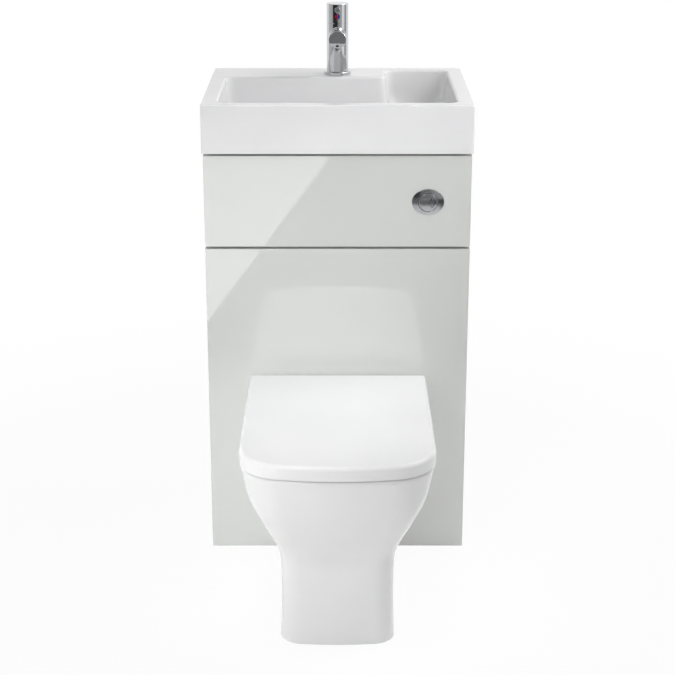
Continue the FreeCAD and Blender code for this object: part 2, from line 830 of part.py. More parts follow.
def make_tap():
    """Tap body with its spout, cartridge and the fixings under the basin."""
    body_low = basin_rim_z + tap_gasket_thickness
    spout_z = basin_rim_z + spout_height
    end_p = tap_p + spout_reach
    spout_low = spout_z - spout_radius
    cut_low = spout_low - overrun
    cut_front = end_p + overrun
    lip_top = (cut_front, spout_low + spout_lip + overrun)
    lip_back = (end_p - spout_lip - overrun, cut_low)
    lip_cut = side_profile([lip_top, (cut_front, cut_low), lip_back], spout_radius + overrun)
    lip_mid = at(0, end_p - spout_lip / 2, spout_low + spout_lip / 2)
    outward = (at(0, 1, 0) - at(0, 0, 1)).normalize()
    aerator_seat = lip_mid - outward * aerator_depth
    spout = rod(spout_radius, at(0, tap_p, spout_z), at(0, end_p, spout_z)).cut(lip_cut)
    spout = tilted(spout, tap_p, spout_z, spout_rise_deg)
    water_end = end_p - spout_lip
    waterway = rod(spout_bore, at(0, tap_p, spout_z), at(0, water_end, spout_z))
    waterway = tilted(waterway, tap_p, spout_z, spout_rise_deg)
    aerator_bore = rod(aerator_radius + close_fit, aerator_seat, lip_mid + outward * overrun)
    feed_start = at(0, water_end - spout_bore, spout_z)
    feed = rod(aerator_hole_radius, feed_start, aerator_seat + outward * close_fit)
    aerator = rod(aerator_radius, aerator_seat, lip_mid).cut(
        rod(aerator_hole_radius, aerator_seat - outward * overrun, lip_mid + outward * overrun)
    )
    aerator_bore, feed, aerator = (
        tilted(shape, tap_p, spout_z, spout_rise_deg) for shape in (aerator_bore, feed, aerator)
    )
    cavity_low = tap_top_z - cartridge_depth
    cavity = upright(cartridge_radius + close_fit, 0, tap_p, cavity_low, tap_top_z + overrun)
    stud_p = tap_p - stud_back
    stud_top = body_low + stud_in_body
    stud_hole = upright(stud_radius + close_fit, 0, stud_p, body_low - overrun, stud_top + close_fit)
    column = upright(tap_radius, 0, tap_p, body_low, tap_top_z)
    front_y = panel_y - end_p + spout_lip + overrun + overrun
    root_y = panel_y - tap_p - tap_radius - overrun
    end_edges = lambda edge: edge.BoundBox.YMax < front_y and edge.BoundBox.XLength > spout_lip
    root_edges = lambda edge: (
        edge.BoundBox.YMin > root_y
        and edge.BoundBox.XLength > spout_radius
        and edge.BoundBox.ZLength > spout_radius
    )
    outside = rounded(joined(column, rounded(spout, spout_end_round, end_edges)), spout_blend, root_edges)
    tail_p = tap_p + tail_front
    tail_xs = (-tail_spread, tail_spread)
    inlets = [upright(inlet_way_radius, x, tail_p, body_low, cavity_low + overrun) for x in tail_xs]
    holes = [cavity, waterway, aerator_bore, feed, stud_hole] + inlets + tap_tails(close_fit)
    save("tap_body", outside.cut(holes))
    save("tap_aerator", aerator)

    ring_top = basin_rim_z + base_ring_height
    base_ring = collar(base_ring_radius, tap_radius + close_fit, 0, tap_p, basin_rim_z, ring_top)
    bore_edge = tap_radius + close_fit + hair
    outer_top = lambda edge: level_edges(ring_top)(edge) and edge.BoundBox.XMax > bore_edge
    save("tap_base_ring", rounded(base_ring, base_ring_round, outer_top))
    save("tap_gasket", collar(tap_radius - close_fit, tap_gasket_bore, 0, tap_p, basin_rim_z, body_low))

    ring_low = tap_top_z - cartridge_nut_depth
    stem_low = ring_low - stem_socket_depth
    cartridge = upright(cartridge_radius, 0, tap_p, cavity_low, ring_low)
    stem_socket = upright(stem_radius + running_fit, 0, tap_p, stem_low, ring_low + overrun)
    save("tap_cartridge", cartridge.cut(stem_socket))
    save("cartridge_nut", collar(cartridge_radius, cartridge_nut_bore, 0, tap_p, ring_low, tap_top_z))

    stud_low = basin_rim_z - stud_drop
    clamp_low = deck_under_z - clamp_thickness
    clamp = upright(clamp_radius, 0, tap_p, clamp_low, deck_under_z)
    slot_back = stud_p + stud_radius + slip
    slot_front = tap_p + clamp_radius + overrun
    slot_low = clamp_low - overrun
    slot_top = deck_under_z + overrun
    slot = block(-clamp_slot_half_width, clamp_slot_half_width, slot_back, slot_front, slot_low, slot_top)
    stud_bore = upright(stud_radius + close_fit, 0, stud_p, slot_low, slot_top)
    stud = upright(stud_radius, 0, stud_p, stud_low, stud_top)
    nut_low = at(0, stud_p, clamp_low - tap_nut_height)
    nut = hex_nut(tap_nut_radius, stud_radius + close_fit, nut_low, at(0, stud_p, clamp_low))
    save("tap_fixings", clamp.cut([slot, stud_bore]), stud, nut)
    save("tap_tails", *tap_tails(0))


def make_tap_handle():
    """The moving parts of the tap: stem, pivot pin, head, lever and hot and cold marker."""
    stem_low = tap_top_z - cartridge_nut_depth - stem_socket_depth + slip
    pin_start = at(-pivot_pin_length / 2, tap_p, pivot_z)
    pin_end = at(pivot_pin_length / 2, tap_p, pivot_z)
    stem = upright(stem_radius, 0, tap_p, stem_low, pivot_z + stem_above_pivot)
    save("cartridge_stem", stem.cut(rod(pivot_pin_radius + hair, pin_start, pin_end)))
    save("lever_pivot_pin", rod(pivot_pin_radius, pin_start, pin_end))

    head_low = tap_top_z + head_gap
    head_top = tap_top_z + head_height
    head = upright(tap_radius, 0, tap_p, head_low, head_top)
    head = rounded(head, head_edge_round, level_edges(head_top))
    cavity = upright(head_cavity_radius, 0, tap_p, head_low - overrun, pivot_z + head_cavity_above_pivot)
    back_p = tap_p - tap_radius - overrun
    relief_rise = (tap_radius + overrun) * math.tan(math.radians(lift_deg + lift_spare_deg))
    under_z = head_low - overrun
    wedge = [(tap_p, head_low), (tap_p, under_z), (back_p, under_z), (back_p, head_low + relief_rise)]
    relief = side_profile(wedge, tap_radius + overrun)
    lever_z = tap_top_z + lever_height
    surface_p = tap_p + tap_radius
    root_p = surface_p - lever_socket_depth
    tip_p = surface_p + lever_reach
    lever = rod(lever_radius, at(0, root_p, lever_z), at(0, tip_p, lever_z))
    lever = rounded(lever, lever_edge_round, lambda edge: edge.BoundBox.YMax < panel_y - tip_p + hair)
    lever_hole = rod(lever_radius + close_fit, at(0, root_p - close_fit, lever_z), at(0, tip_p, lever_z))
    lever = tilted(lever, surface_p, lever_z, lever_rise_deg)
    lever_hole = tilted(lever_hole, surface_p, lever_z, lever_rise_deg)
    marker_z = tap_top_z + marker_height
    marker_back = at(0, surface_p - marker_depth, marker_z)
    marker_front = at(0, surface_p + overrun, marker_z)
    marker_hole = rod(marker_radius + close_fit, marker_back, marker_front)
    spare = FreeCAD.Vector(slip, 0, 0)
    pin_hole = rod(pivot_pin_radius + running_fit, pin_start - spare, pin_end + spare)
    save("tap_head", head.cut([cavity, relief, lever_hole, marker_hole, pin_hole]))
    save("tap_lever", lever)
    round_front = upright(tap_radius, 0, tap_p, head_low, head_top)
    marker = rod(marker_radius, marker_back, marker_front).common(round_front)
    right_half = block(0, tap_radius, tap_p, surface_p + overrun, head_low, head_top)
    left_half = block(-tap_radius, 0, tap_p, surface_p + overrun, head_low, head_top)
    save("cold_marker", marker.common(right_half))
    save("hot_marker", marker.common(left_half))


def bezel_oval(half_width, half_height, p):
    """An upright oval about the flush button's centre, as a wire at p."""
    side = at(button_x + half_width, p, button_z)
    top = at(button_x, p, button_z + half_height)
    return Part.Wire([Part.Ellipse(side, top, at(button_x, p, button_z)).toShape()])


def lens_prism(gap, back_p, front_p):
    """The lens-shaped half flush button, gap larger all round, from back_p to front_p."""
    top = lens_half_height + gap
    side = lens_half_width + gap
    x = button_x + lens_offset
    low_point = at(x, back_p, button_z - top)
    top_point = at(x, back_p, button_z + top)
    right = Part.Arc(low_point, at(x + side, back_p, button_z), top_point).toShape()
    left = Part.Arc(top_point, at(x - side, back_p, button_z), low_point).toShape()
    return Part.Face(Part.Wire([right, left])).extrude(FreeCAD.Vector(0, back_p - front_p, 0))


def along_button(radius, offset, back_p, front_p):
    """A round bar square to the panel, offset to the right of the button's centre."""
    return rod(radius, at(button_x + offset, back_p, button_z), at(button_x + offset, front_p, button_z))


def domed(bar, back_p, crown_p, edge_round):
    """A bar from back_p whose front is a shallow dome, highest at crown_p, with its edges rounded."""
    dome_height = bezel_thickness - bezel_rim_thickness
    dome_radius = (bezel_half_width**2 + dome_height**2) / (2 * dome_height)
    ball = Part.makeSphere(dome_radius, at(button_x, crown_p - dome_radius, button_z))
    back_y = panel_y - back_p
    return rounded(bar.common(ball), edge_round, lambda edge: edge.BoundBox.YMax < back_y - hair)


def make_flush_button():
    """Oval bezel, housing through the panel, backnut, and the full and half flush buttons."""
    outline = Part.Face(bezel_oval(bezel_half_width, bezel_half_height, 0))
    plate = outline.extrude(FreeCAD.Vector(0, -bezel_thickness, 0))
    well = button_radius + button_gap
    plate = plate.cut(along_button(well, 0, -overrun, bezel_thickness + overrun))
    save("flush_bezel", domed(plate, 0, bezel_thickness, bezel_edge_round))

    face_p = bezel_thickness + button_proud
    button_back = face_p - button_thickness
    well_floor = button_back - button_travel - slip
    housing_back = -housing_depth
    bore_back = button_back - piston_reach - button_travel - piston_spare
    housing = along_button(housing_radius, 0, housing_back, 0)
    nipple_back = housing_back - nipple_length
    full_nipple = along_button(nipple_radius, full_piston_offset, nipple_back, housing_back)
    half_nipple = along_button(nipple_radius, lens_offset, nipple_back, housing_back)
    housing = joined(housing, full_nipple, half_nipple)
    full_bore_radius = piston_radius + running_fit
    full_bore = along_button(full_bore_radius, full_piston_offset, bore_back, well_floor + overrun)
    half_bore = along_button(half_piston_radius + running_fit, lens_offset, bore_back, well_floor + overrun)
    save("button_housing", housing.cut([along_button(well, 0, well_floor, overrun), full_bore, half_bore]))
    nut_back = panel_back_p - housing_nut_thickness
    nut_start = at(button_x, panel_back_p, button_z)
    nut_end = at(button_x, nut_back, button_z)
    save("button_backnut", hex_nut(housing_nut_radius, housing_radius + close_fit, nut_start, nut_end))

    piston_back = button_back - piston_reach
    disc = along_button(button_radius, 0, button_back, face_p)
    disc = domed(disc, button_back, face_p, button_edge_round)
    disc = disc.cut(lens_prism(lens_gap, button_back - overrun, face_p + overrun))
    lens = domed(lens_prism(0, button_back, face_p), button_back, face_p, lens_edge_round)
    full_piston = along_button(piston_radius, full_piston_offset, piston_back, button_back)
    half_piston = along_button(half_piston_radius, lens_offset, piston_back, button_back)
    save("full_flush_button", joined(disc, full_piston))
    save("half_flush_button", joined(lens, half_piston))


def tank_screw(x, gap):
    """A screw through the back of the tank into the rear rail, gap larger all round."""
    z = tank_top_z - tank_screw_drop
    inside_p = tank_back_p + tank_wall
    shank = rod(screw_shank_radius + gap, at(x, inside_p, z), at(x, inside_p - tank_screw_length - gap, z))
    head = rod(tank_screw_head, at(x, inside_p, z), at(x, inside_p + screw_head_depth, z))
    return joined(shank, head)


def tank_block(inset, low, top):
    """The tank's outline drawn in by inset, from low to top, with round upright edges."""
    half = tank_width / 2 - inset
    shape = block(-half, half, tank_back_p + inset, tank_front_p - inset, low, top)
    return rounded(shape, tank_corner_round - inset, upright_edges)


def make_cistern():
    """Tank, cover and the screws that hold the tank to the rear rail."""
    hollow = tank_block(tank_wall, tank_floor_z, tank_top_z + overrun)
    tank = tank_block(0, shelf_top_z, tank_top_z).cut(hollow)
    low = shelf_top_z - overrun
    valve_hole = upright(valve_tail_radius + close_fit, 0, tank_p, low, tank_floor_z + overrun)
    fill_hole = upright(fill_shank_radius + close_fit, fill_x, tank_p, low, tank_floor_z + overrun)
    holes = [valve_hole, fill_hole]
    holes += [tank_screw(x, close_fit) for x in (-tank_screw_spread, tank_screw_spread)]
    save("cistern_tank", tank.cut(holes))
    save("cistern_screws", *[tank_screw(x, 0) for x in (-tank_screw_spread, tank_screw_spread)])
    lip_outer = tank_wall + tank_lid_gap
    lip_low = tank_top_z - tank_lid_lap
    lip_hollow = tank_block(lip_outer + tank_wall, lip_low - overrun, tank_top_z)
    lip = tank_block(lip_outer, lip_low, tank_top_z).cut(lip_hollow)
    save("cistern_lid", joined(tank_block(0, tank_top_z, tank_top_z + tank_wall), lip))


def make_flush_valve():
    """Outlet valve with its cage, lifting plunger and seal, and both backnuts under the tank."""
    tail_low = shelf_top_z - valve_tail_drop
    base = upright(valve_base_radius, 0, tank_p, tank_floor_z, valve_seat_z)
    tail = upright(valve_tail_radius, 0, tank_p, tail_low, tank_floor_z)
    cage_bore = valve_cage_radius - valve_cage_wall
    cage = collar(valve_cage_radius, cage_bore, 0, tank_p, valve_seat_z, cage_top_z)
    window_low = valve_seat_z + hair
    window_top = cage_top_z - valve_window_margin
    reach = valve_cage_radius + overrun
    half = valve_window_half_width
    across = block(-reach, reach, tank_p - half, tank_p + half, window_low, window_top)
    through = block(-half, half, tank_p - reach, tank_p + reach, window_low, window_top)
    guide_low = cage_top_z - valve_guide_height
    guide = collar(cage_bore + hair, plunger_tube_radius + slip, 0, tank_p, guide_low, cage_top_z)
    socket_top = tail_low + flush_pipe_lap
    throat = upright(valve_throat_radius, 0, tank_p, socket_top, valve_seat_z + overrun)
    socket = upright(flush_pipe_radius + close_fit, 0, tank_p, tail_low - overrun, socket_top)
    body = joined(joined(base, tail, cage.cut([across, through])), guide)
    save("flush_valve", body.cut([throat, socket]))

    seal_top = valve_seat_z + plunger_seal_thickness
    disc_top = seal_top + plunger_disc_thickness
    seal = collar(plunger_seal_radius, plunger_tube_radius + close_fit, 0, tank_p, valve_seat_z, seal_top)
    disc = upright(plunger_seal_radius, 0, tank_p, seal_top, disc_top)
    tube_top = tank_top_z - plunger_room
    tube = upright(plunger_tube_radius, 0, tank_p, valve_seat_z, tube_top)
    overflow = upright(plunger_tube_bore, 0, tank_p, valve_seat_z - overrun, tube_top + overrun)
    save("flush_plunger", joined(disc, tube).cut(overflow))
    save("plunger_seal", seal)

    nut_low = shelf_top_z - backnut_height
    nuts = []
    valve_sizes = (0, valve_nut_radius, valve_tail_radius)
    fill_sizes = (fill_x, fill_nut_radius, fill_shank_radius)
    for x, radius, bore in (valve_sizes, fill_sizes):
        nuts.append(hex_nut(radius, bore + close_fit, at(x, tank_p, nut_low), at(x, tank_p, shelf_top_z)))
    save("cistern_backnuts", *nuts)


def make_fill_valve():
    """Bottom-entry fill valve with its float."""
    shank_low = shelf_top_z - fill_shank_drop
    nut_low = shelf_top_z - backnut_height
    riser_top = tank_top_z - fill_head_room - fill_head_height
    float_top = riser_top - float_room - float_travel
    stop_top = float_top - float_height
    stop_low = stop_top - fill_stop_height
    riser = joined(
        upright(fill_thread_radius, fill_x, tank_p, shank_low, nut_low),
        upright(fill_shank_radius, fill_x, tank_p, nut_low, tank_floor_z),
        upright(fill_flange_radius, fill_x, tank_p, tank_floor_z, tank_floor_z + fill_flange_height),
        upright(fill_riser_radius, fill_x, tank_p, tank_floor_z, riser_top),
        upright(fill_stop_radius, fill_x, tank_p, stop_low, stop_top),
        upright(fill_head_radius, fill_x, tank_p, riser_top, riser_top + fill_head_height),
    )
    water_bore = upright(fill_shank_radius / 2, fill_x, tank_p, shank_low - overrun, riser_top)
    save("fill_valve", riser.cut(water_bore))
    save("fill_float", collar(float_radius, fill_riser_radius + slip, fill_x, tank_p, stop_top, float_top))


def make_flush_pipe():
    """The bent pipe from the cistern to the pan, and the rubber cone that seals it into the pan."""
    top = at(0, tank_p, shelf_top_z - valve_tail_drop + flush_pipe_lap)
    bend_top = at(0, tank_p, inlet_z + flush_bend_radius)
    bend_end = at(0, tank_p + flush_bend_radius, inlet_z)
    end = at(0, flush_end_p, inlet_z)
    slant = flush_bend_radius * math.sin(math.radians(flush_bend_middle_deg))
    bend_mid = at(0, tank_p + flush_bend_radius - slant, inlet_z + flush_bend_radius - slant)
    route = Part.Wire([
        Part.LineSegment(top, bend_top).toShape(),
        Part.Arc(bend_top, bend_mid, bend_end).toShape(),
        Part.LineSegment(bend_end, end).toShape(),
    ])
    bars = []
    for radius in (flush_pipe_radius, flush_pipe_radius - flush_pipe_wall):
        section = Part.Wire([Part.makeCircle(radius, top, FreeCAD.Vector(0, 0, 1))])
        bars.append(route.makePipeShell([section], True, False))
    save("flush_pipe", bars[0].cut(bars[1]))
    collar_end = at(0, inlet_start_p, inlet_z)
    collar_start = at(0, inlet_start_p - cone_collar_length, inlet_z)
    plug_end = at(0, inlet_start_p + cone_length, inlet_z)
    cone = joined(
        rod(inlet_bore + cone_collar, collar_start, collar_end),
        rod(inlet_bore - close_fit, collar_end, plug_end),
    )
    save("flush_cone", cone.cut(rod(flush_pipe_radius + close_fit, collar_start, plug_end)))


def pan_form(wall, back):
    """The outside of the pan, drawn in by wall, from the floor to the rim."""
    wires = []
    for height, width, front in zip(pan_height_shares, pan_width_shares, pan_front_shares):
        half = foot_half_width + width * (pan_rim_half_width - foot_half_width) - wall
        nose = foot_front + front * (pan_rim_front - foot_front) - wall
        corner = foot_corner + width * (pan_rim_corner - foot_corner) - wall
        wires.append(shield_outline(half, back, nose, corner, pan_front_arc, height * pan_rim_z))
    return Part.makeLoft(wires, True)


def pan_bowl_form(wall):
    """The space of the bowl, or with a wall the outside of its shell."""
    wires = []
    low = sump_z - wall
    for height, size in zip(pan_bowl_height_shares, pan_bowl_size_shares):
        half_width = sump_half_width + size * (bowl_mouth_half_width - sump_half_width) + wall
        half_length = sump_half_length + size * (bowl_mouth_half_length - sump_half_length) + wall
        p = sump_p + size * (bowl_mouth_p - sump_p)
        wires.append(oval(half_width, half_length, p, low + height * (pan_rim_z - low)))
    wires.append(oval(half_width, half_length, p, pan_rim_z + overrun))
    return Part.makeLoft(wires, True)


def trapway(radius, end_p):
    """The water passage from the sump, up over its weir and out at the back, as one bar."""
    points = [
        at(0, sump_p, trapway_low_z),
        at(0, trapway_turn_p, trapway_low_z),
        at(0, trapway_knee_p, outlet_z),
        at(0, end_p, outlet_z),
    ]
    runs = [rod(radius, start, end) for start, end in zip(points, points[1:])]
    turns = [Part.makeSphere(radius, point) for point in points[1:-1]]
    return joined(*(runs + turns))


def foot_surface_x(form):
    """Where a line across the foot at the fixing height leaves the pan."""
    line = Part.makeLine(at(0, fixing_p, fixing_z), at(pan_rim_half_width, fixing_p, fixing_z))
    return max(vertex.X for vertex in form.common(line).Vertexes)


def make_pan():
    """The hollow china pan with its bowl, trapway, flush inlet and outlet spigot, and its floor fixings."""
    rim_edges = lambda edge: level_edges(pan_rim_z)(edge) and edge.BoundBox.YMin < panel_y - hair
    outside = rounded(pan_form(0, 0), rim_round, rim_edges)
    hollow = pan_form(china_wall, -overrun)
    rim_low = pan_rim_z - rim_thickness
    rim = block(-pan_rim_half_width, pan_rim_half_width, wall_p, pan_projection, rim_low, pan_rim_z + overrun)
    half = foot_half_width - china_wall
    corner = foot_corner - china_wall
    foot = shield_outline(half, -overrun, foot_front - china_wall, corner, pan_front_arc, -overrun)
    skin = outside.cut(hollow.cut(rim)).cut(prism(foot, overrun + overrun))
    spigot_end = -front_board - spigot_length
    passage = trapway(trapway_bore + trapway_wall, 0)
    spigot = rod(spigot_radius, at(0, spigot_root_p, outlet_z), at(0, spigot_end, outlet_z))
    inlet = rod(inlet_bore + inlet_wall, at(0, inlet_start_p, inlet_z), at(0, inlet_end_p, inlet_z))
    bowl_shell = pan_bowl_form(china_wall).common(outside)
    solid = joined(skin, bowl_shell, passage, spigot, inlet).cut(pan_bowl_form(0))
    solid = rounded(solid, mouth_round, lambda edge: level_edges(pan_rim_z)(edge) and edge.isClosed())
    inlet_hole = rod(inlet_bore, at(0, inlet_start_p - overrun, inlet_z), at(0, inlet_end_p, inlet_z))
    holes = [trapway(trapway_bore, spigot_end - overrun), inlet_hole]
    deck_low = rim_low - overrun
    post_x = post_start_x + post_width / 2
    for x in (-post_x, post_x):
        holes.append(upright(hinge_hole_radius, x, hinge_p, deck_low, pan_rim_z + overrun))
    foot_x = foot_surface_x(outside)
    cap_floor = foot_x - fixing_cap_depth
    cap_seat = side_bar(fixing_cap_radius + close_fit, cap_floor, foot_x + overrun)
    screw_hole = side_bar(fixing_bore, foot_half_width - china_wall - overrun - overrun, cap_floor + hair)
    holes += both_sides(joined(cap_seat, screw_hole))
    save("pan", solid.cut(holes))
    make_pan_fixings(foot_x)
    make_connector(spigot_end)


def side_bar(radius, x0, x1):
    """A round bar across the foot at the height of its fixing, from x0 to x1."""
    return rod(radius, at(x0, fixing_p, fixing_z), at(x1, fixing_p, fixing_z))


def make_pan_fixings(foot_x):
    """Floor brackets inside the foot, their side screws and the caps over the screws."""
    cap_floor = foot_x - fixing_cap_depth
    wall_x = foot_half_width - china_wall - slip
    plate_x = wall_x - fixing_plate
    back = fixing_p - fixing_width / 2
    front = fixing_p + fixing_width / 2
    floor_leg = block(wall_x - fixing_leg, wall_x, back, front, 0, fixing_plate)
    side_leg = block(plate_x, wall_x, back, front, 0, fixing_height)
    hole_x = wall_x - fixing_leg / 2
    floor_hole = upright(fixing_hole_radius, hole_x, fixing_p, -overrun, fixing_plate + overrun)
    bore = side_bar(fixing_screw_radius + close_fit, plate_x - overrun, wall_x + overrun)
    save("pan_brackets", *both_sides(joined(floor_leg, side_leg).cut([floor_hole, bore])))
    head_depth = fixing_cap_depth / 2
    shank = side_bar(fixing_screw_radius, plate_x - fixing_plate, cap_floor)
    head = side_bar(fixing_head_radius, cap_floor, cap_floor + head_depth)
    save("pan_side_screws", *both_sides(joined(shank, head)))
    cap = side_bar(fixing_cap_radius, cap_floor + head_depth, foot_x + fixing_cap_proud)
    cap = rounded(cap, fixing_cap_proud - hair, lambda edge: edge.BoundBox.XMin > foot_x + hair)
    save("pan_screw_caps", *both_sides(cap))


def make_connector(spigot_end):
    """The straight pan connector from the spigot to the wall."""
    lap_start = spigot_end + connector_lap
    socket_bore = spigot_radius + connector_seal_gap
    socket_radius = socket_bore + connector_wall
    tail_start = spigot_end - connector_cone
    away = FreeCAD.Vector(0, 1, 0)
    socket = rod(socket_radius, at(0, lap_start, outlet_z), at(0, spigot_end, outlet_z))
    cone_start = at(0, spigot_end, outlet_z)
    cone = Part.makeCone(socket_radius, connector_tail_radius, connector_cone, cone_start, away)
    tail = rod(connector_tail_radius, at(0, tail_start, outlet_z), at(0, wall_p, outlet_z))
    tail_bore = connector_tail_radius - connector_wall
    bore = rod(tail_bore, at(0, spigot_end, outlet_z), at(0, wall_p - overrun, outlet_z))
    mouth = rod(socket_bore, at(0, lap_start + overrun, outlet_z), at(0, spigot_end, outlet_z))
    save("pan_connector", joined(socket, cone, tail).cut([bore, mouth]))
    seal_start = at(0, lap_start, outlet_z)
    seal_end = at(0, (lap_start + spigot_end) / 2, outlet_z)
    save("connector_seal", ring(socket_bore - close_fit, spigot_radius + close_fit, seal_start, seal_end))


def across(radius, x0, x1):
    """A round bar on the hinge line from x0 to x1."""
    return rod(radius, at(x0, hinge_p, hinge_z), at(x1, hinge_p, hinge_z))


def make_lid():
    """The lid: a shallow shell whose round back edge turns on the hinge line."""
    height = lid_top_z - skirt_low_z
    front = pan_projection
    outline = shield_outline(lid_half_width, hinge_p, front, lid_corner, pan_front_arc, skirt_low_z)
    rear_y = panel_y - hinge_p
    ahead_of_hinge = lambda edge: level_edges(lid_top_z)(edge) and edge.BoundBox.YMin < rear_y - hair
    barrel = across(barrel_radius, -lid_half_width, lid_half_width)
    barrel = rounded(barrel, lid_edge_round, lambda edge: edge.BoundBox.XLength < hair)
    shell = joined(rounded(prism(outline, height), lid_edge_round, ahead_of_hinge), barrel)
    corner = lid_corner - lid_skirt
    low = skirt_low_z - overrun
    inner = shield_outline(lid_inner_half, hinge_p, front - lid_skirt, corner, pan_front_arc, low)
    hollow = prism(inner, lid_under_z - skirt_low_z + overrun)
    hollow = hollow.cut(across(barrel_radius, -lid_half_width, lid_half_width))
    neck_front = hinge_p + post_neck_half + slot_neck_room
    behind = hinge_p - barrel_radius - overrun
    below = hinge_z - barrel_radius - overrun
    ahead = hinge_p + barrel_radius + overrun
    arm_top = seat_top_z + slip
    slot = joined(
        across(slot_radius, slot_start_x, slot_end_x),
        block(slot_start_x, slot_end_x, behind, neck_front, below, hinge_z),
        block(slot_start_x, slot_end_x, behind, hinge_p, below, hinge_z + slot_rise),
        block(slot_start_x, slot_end_x, hinge_p, ahead, below, arm_top),
    )
    pin_hole_start = slot_start_x - hinge_pin_in_lid - slip
    pin_hole = across(hinge_pin_radius + running_fit, pin_hole_start, slot_start_x + overrun)
    cuts = [hollow] + both_sides(slot) + both_sides(pin_hole)
    save("seat_lid", shell.cut(cuts))
    pads = []
    for x, p in buffer_places():
        pads.append(upright(lid_buffer_radius, x, p, seat_top_z, lid_under_z))
    save("lid_buffers", *pads)


def buffer_places():
    """The (x, p) of the rubber buffers between lid, seat and rim."""
    rear = [(-buffer_x, buffer_rear_p), (buffer_x, buffer_rear_p)]
    front = [(-buffer_front_x, buffer_front_p), (buffer_front_x, buffer_front_p)]
    return rear + front


def make_seat():
    """The seat ring with its hinge arms and the buffers below it."""
    half = lid_inner_half - seat_clear
    front = pan_projection - lid_skirt - seat_clear
    corner = lid_corner - lid_skirt - seat_clear
    outline = shield_outline(half, seat_back_p, front, corner, pan_front_arc, seat_low_z)
    plate = rounded(prism(outline, seat_thickness), seat_corner_back, seat_rear_corner)
    mouth_low = seat_low_z - overrun
    mouth = oval(seat_mouth_half_width, seat_mouth_half_length, seat_mouth_p, mouth_low)
    plate = plate.cut(prism(mouth, seat_thickness + overrun + overrun))
    plate = rounded(plate, seat_edge_round, level_edges(seat_top_z))
    arm_end = knuckle_start_x + knuckle_width
    arm_front = seat_back_p + seat_corner_back
    arm_top = seat_top_z - seat_edge_round
    arm = block(knuckle_start_x, arm_end, hinge_p, arm_front, seat_low_z, arm_top)
    knuckle = joined(arm, across(post_radius, knuckle_start_x, arm_end))
    pin_hole = across(hinge_pin_radius + running_fit, knuckle_start_x - overrun, arm_end + overrun)
    arms = both_sides(knuckle)
    save("seat_ring", joined(plate, *arms).cut(both_sides(pin_hole)))
    save("seat_buffers", *[upright(buffer_radius, x, p, pan_rim_z, seat_low_z) for x, p in buffer_places()])


def seat_rear_corner(edge):
    """Whether an edge is one of the upright ones at the back of the seat."""
    return upright_edges(edge) and edge.BoundBox.YMax > panel_y - seat_back_p - hair


def make_hinges():
    """Hinge posts on the rear deck of the pan, with their pins, studs and nuts."""
    end_x = post_start_x + post_width
    back = hinge_p - post_base_half
    front = hinge_p + post_base_half
    base = block(post_start_x, end_x, back, front, pan_rim_z, pan_rim_z + post_base_height)
    neck_back = hinge_p - post_neck_half
    neck = block(post_start_x, end_x, neck_back, hinge_p + post_neck_half, pan_rim_z, hinge_z)
    middle_x = (post_start_x + end_x) / 2
    stud = upright(hinge_stud_radius, middle_x, hinge_p, pan_rim_z - hinge_stud_drop, pan_rim_z + hair)
    post = joined(base, neck, across(post_radius, post_start_x, end_x), stud)
    pin_start = slot_start_x - hinge_pin_in_lid
    pin_end = knuckle_start_x + knuckle_width
    post_hole = across(hinge_pin_radius + close_fit, post_start_x - overrun, end_x + overrun)
    save("hinge_posts", *both_sides(post.cut(post_hole)))
    save("hinge_pins", *both_sides(across(hinge_pin_radius, pin_start, pin_end)))
    nut_top = pan_rim_z - rim_thickness
    nut_low = at(middle_x, hinge_p, nut_top - hinge_nut_height)
    nut = hex_nut(hinge_nut_radius, hinge_stud_radius + close_fit, nut_low, at(middle_x, hinge_p, nut_top))
    save("hinge_nuts", *both_sides(nut))


def main():
    """Build every piece and write it."""
    os.makedirs("parts", exist_ok=True)
    make_carcass()
    make_basin()
    make_waste()
    make_tap()
    make_tap_handle()
    make_flush_button()
    make_cistern()
    make_flush_valve()
    make_fill_valve()
    make_flush_pipe()
    make_pan()
    make_lid()
    make_seat()
    make_hinges()


main()
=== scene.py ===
import logging
import math
from dataclasses import dataclass
from enum import Enum
from typing import Any, ClassVar, Sequence

import bmesh
import bpy
from mathutils import Matrix, Vector


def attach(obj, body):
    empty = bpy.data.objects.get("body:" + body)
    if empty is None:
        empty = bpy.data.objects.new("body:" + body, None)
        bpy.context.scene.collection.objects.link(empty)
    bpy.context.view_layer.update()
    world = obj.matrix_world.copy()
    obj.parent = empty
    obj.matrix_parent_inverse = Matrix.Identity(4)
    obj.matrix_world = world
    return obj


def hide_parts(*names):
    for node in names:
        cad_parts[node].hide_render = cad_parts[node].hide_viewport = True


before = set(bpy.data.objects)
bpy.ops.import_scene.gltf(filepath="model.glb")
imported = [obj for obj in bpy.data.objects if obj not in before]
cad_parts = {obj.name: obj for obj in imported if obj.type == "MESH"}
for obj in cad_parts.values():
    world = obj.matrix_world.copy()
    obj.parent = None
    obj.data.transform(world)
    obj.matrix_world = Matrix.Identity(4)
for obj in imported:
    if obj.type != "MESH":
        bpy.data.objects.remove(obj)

Tree = bpy.types.NodeTree
Socket = bpy.types.NodeSocket
Inputs = dict[str | int, Any]

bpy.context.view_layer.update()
LOG = logging.getLogger("toilet_and_basin")
MM = 0.001
WHITE = (1.0, 1.0, 1.0, 1.0)
# Most values of a noise pattern lie between these two.
NOISE_BAND = (0.3, 0.7)
# The Mix node's sockets go by number, because their names repeat.
MIX_VALUES = (2, 3)
MIX_COLOURS = (6, 7)
MIX_VALUE_OUT = 0
MIX_COLOUR_OUT = 2


class Axis(Enum):
    """The direction that a board's two broad faces look along."""

    X = 0
    Y = 1
    Z = 2


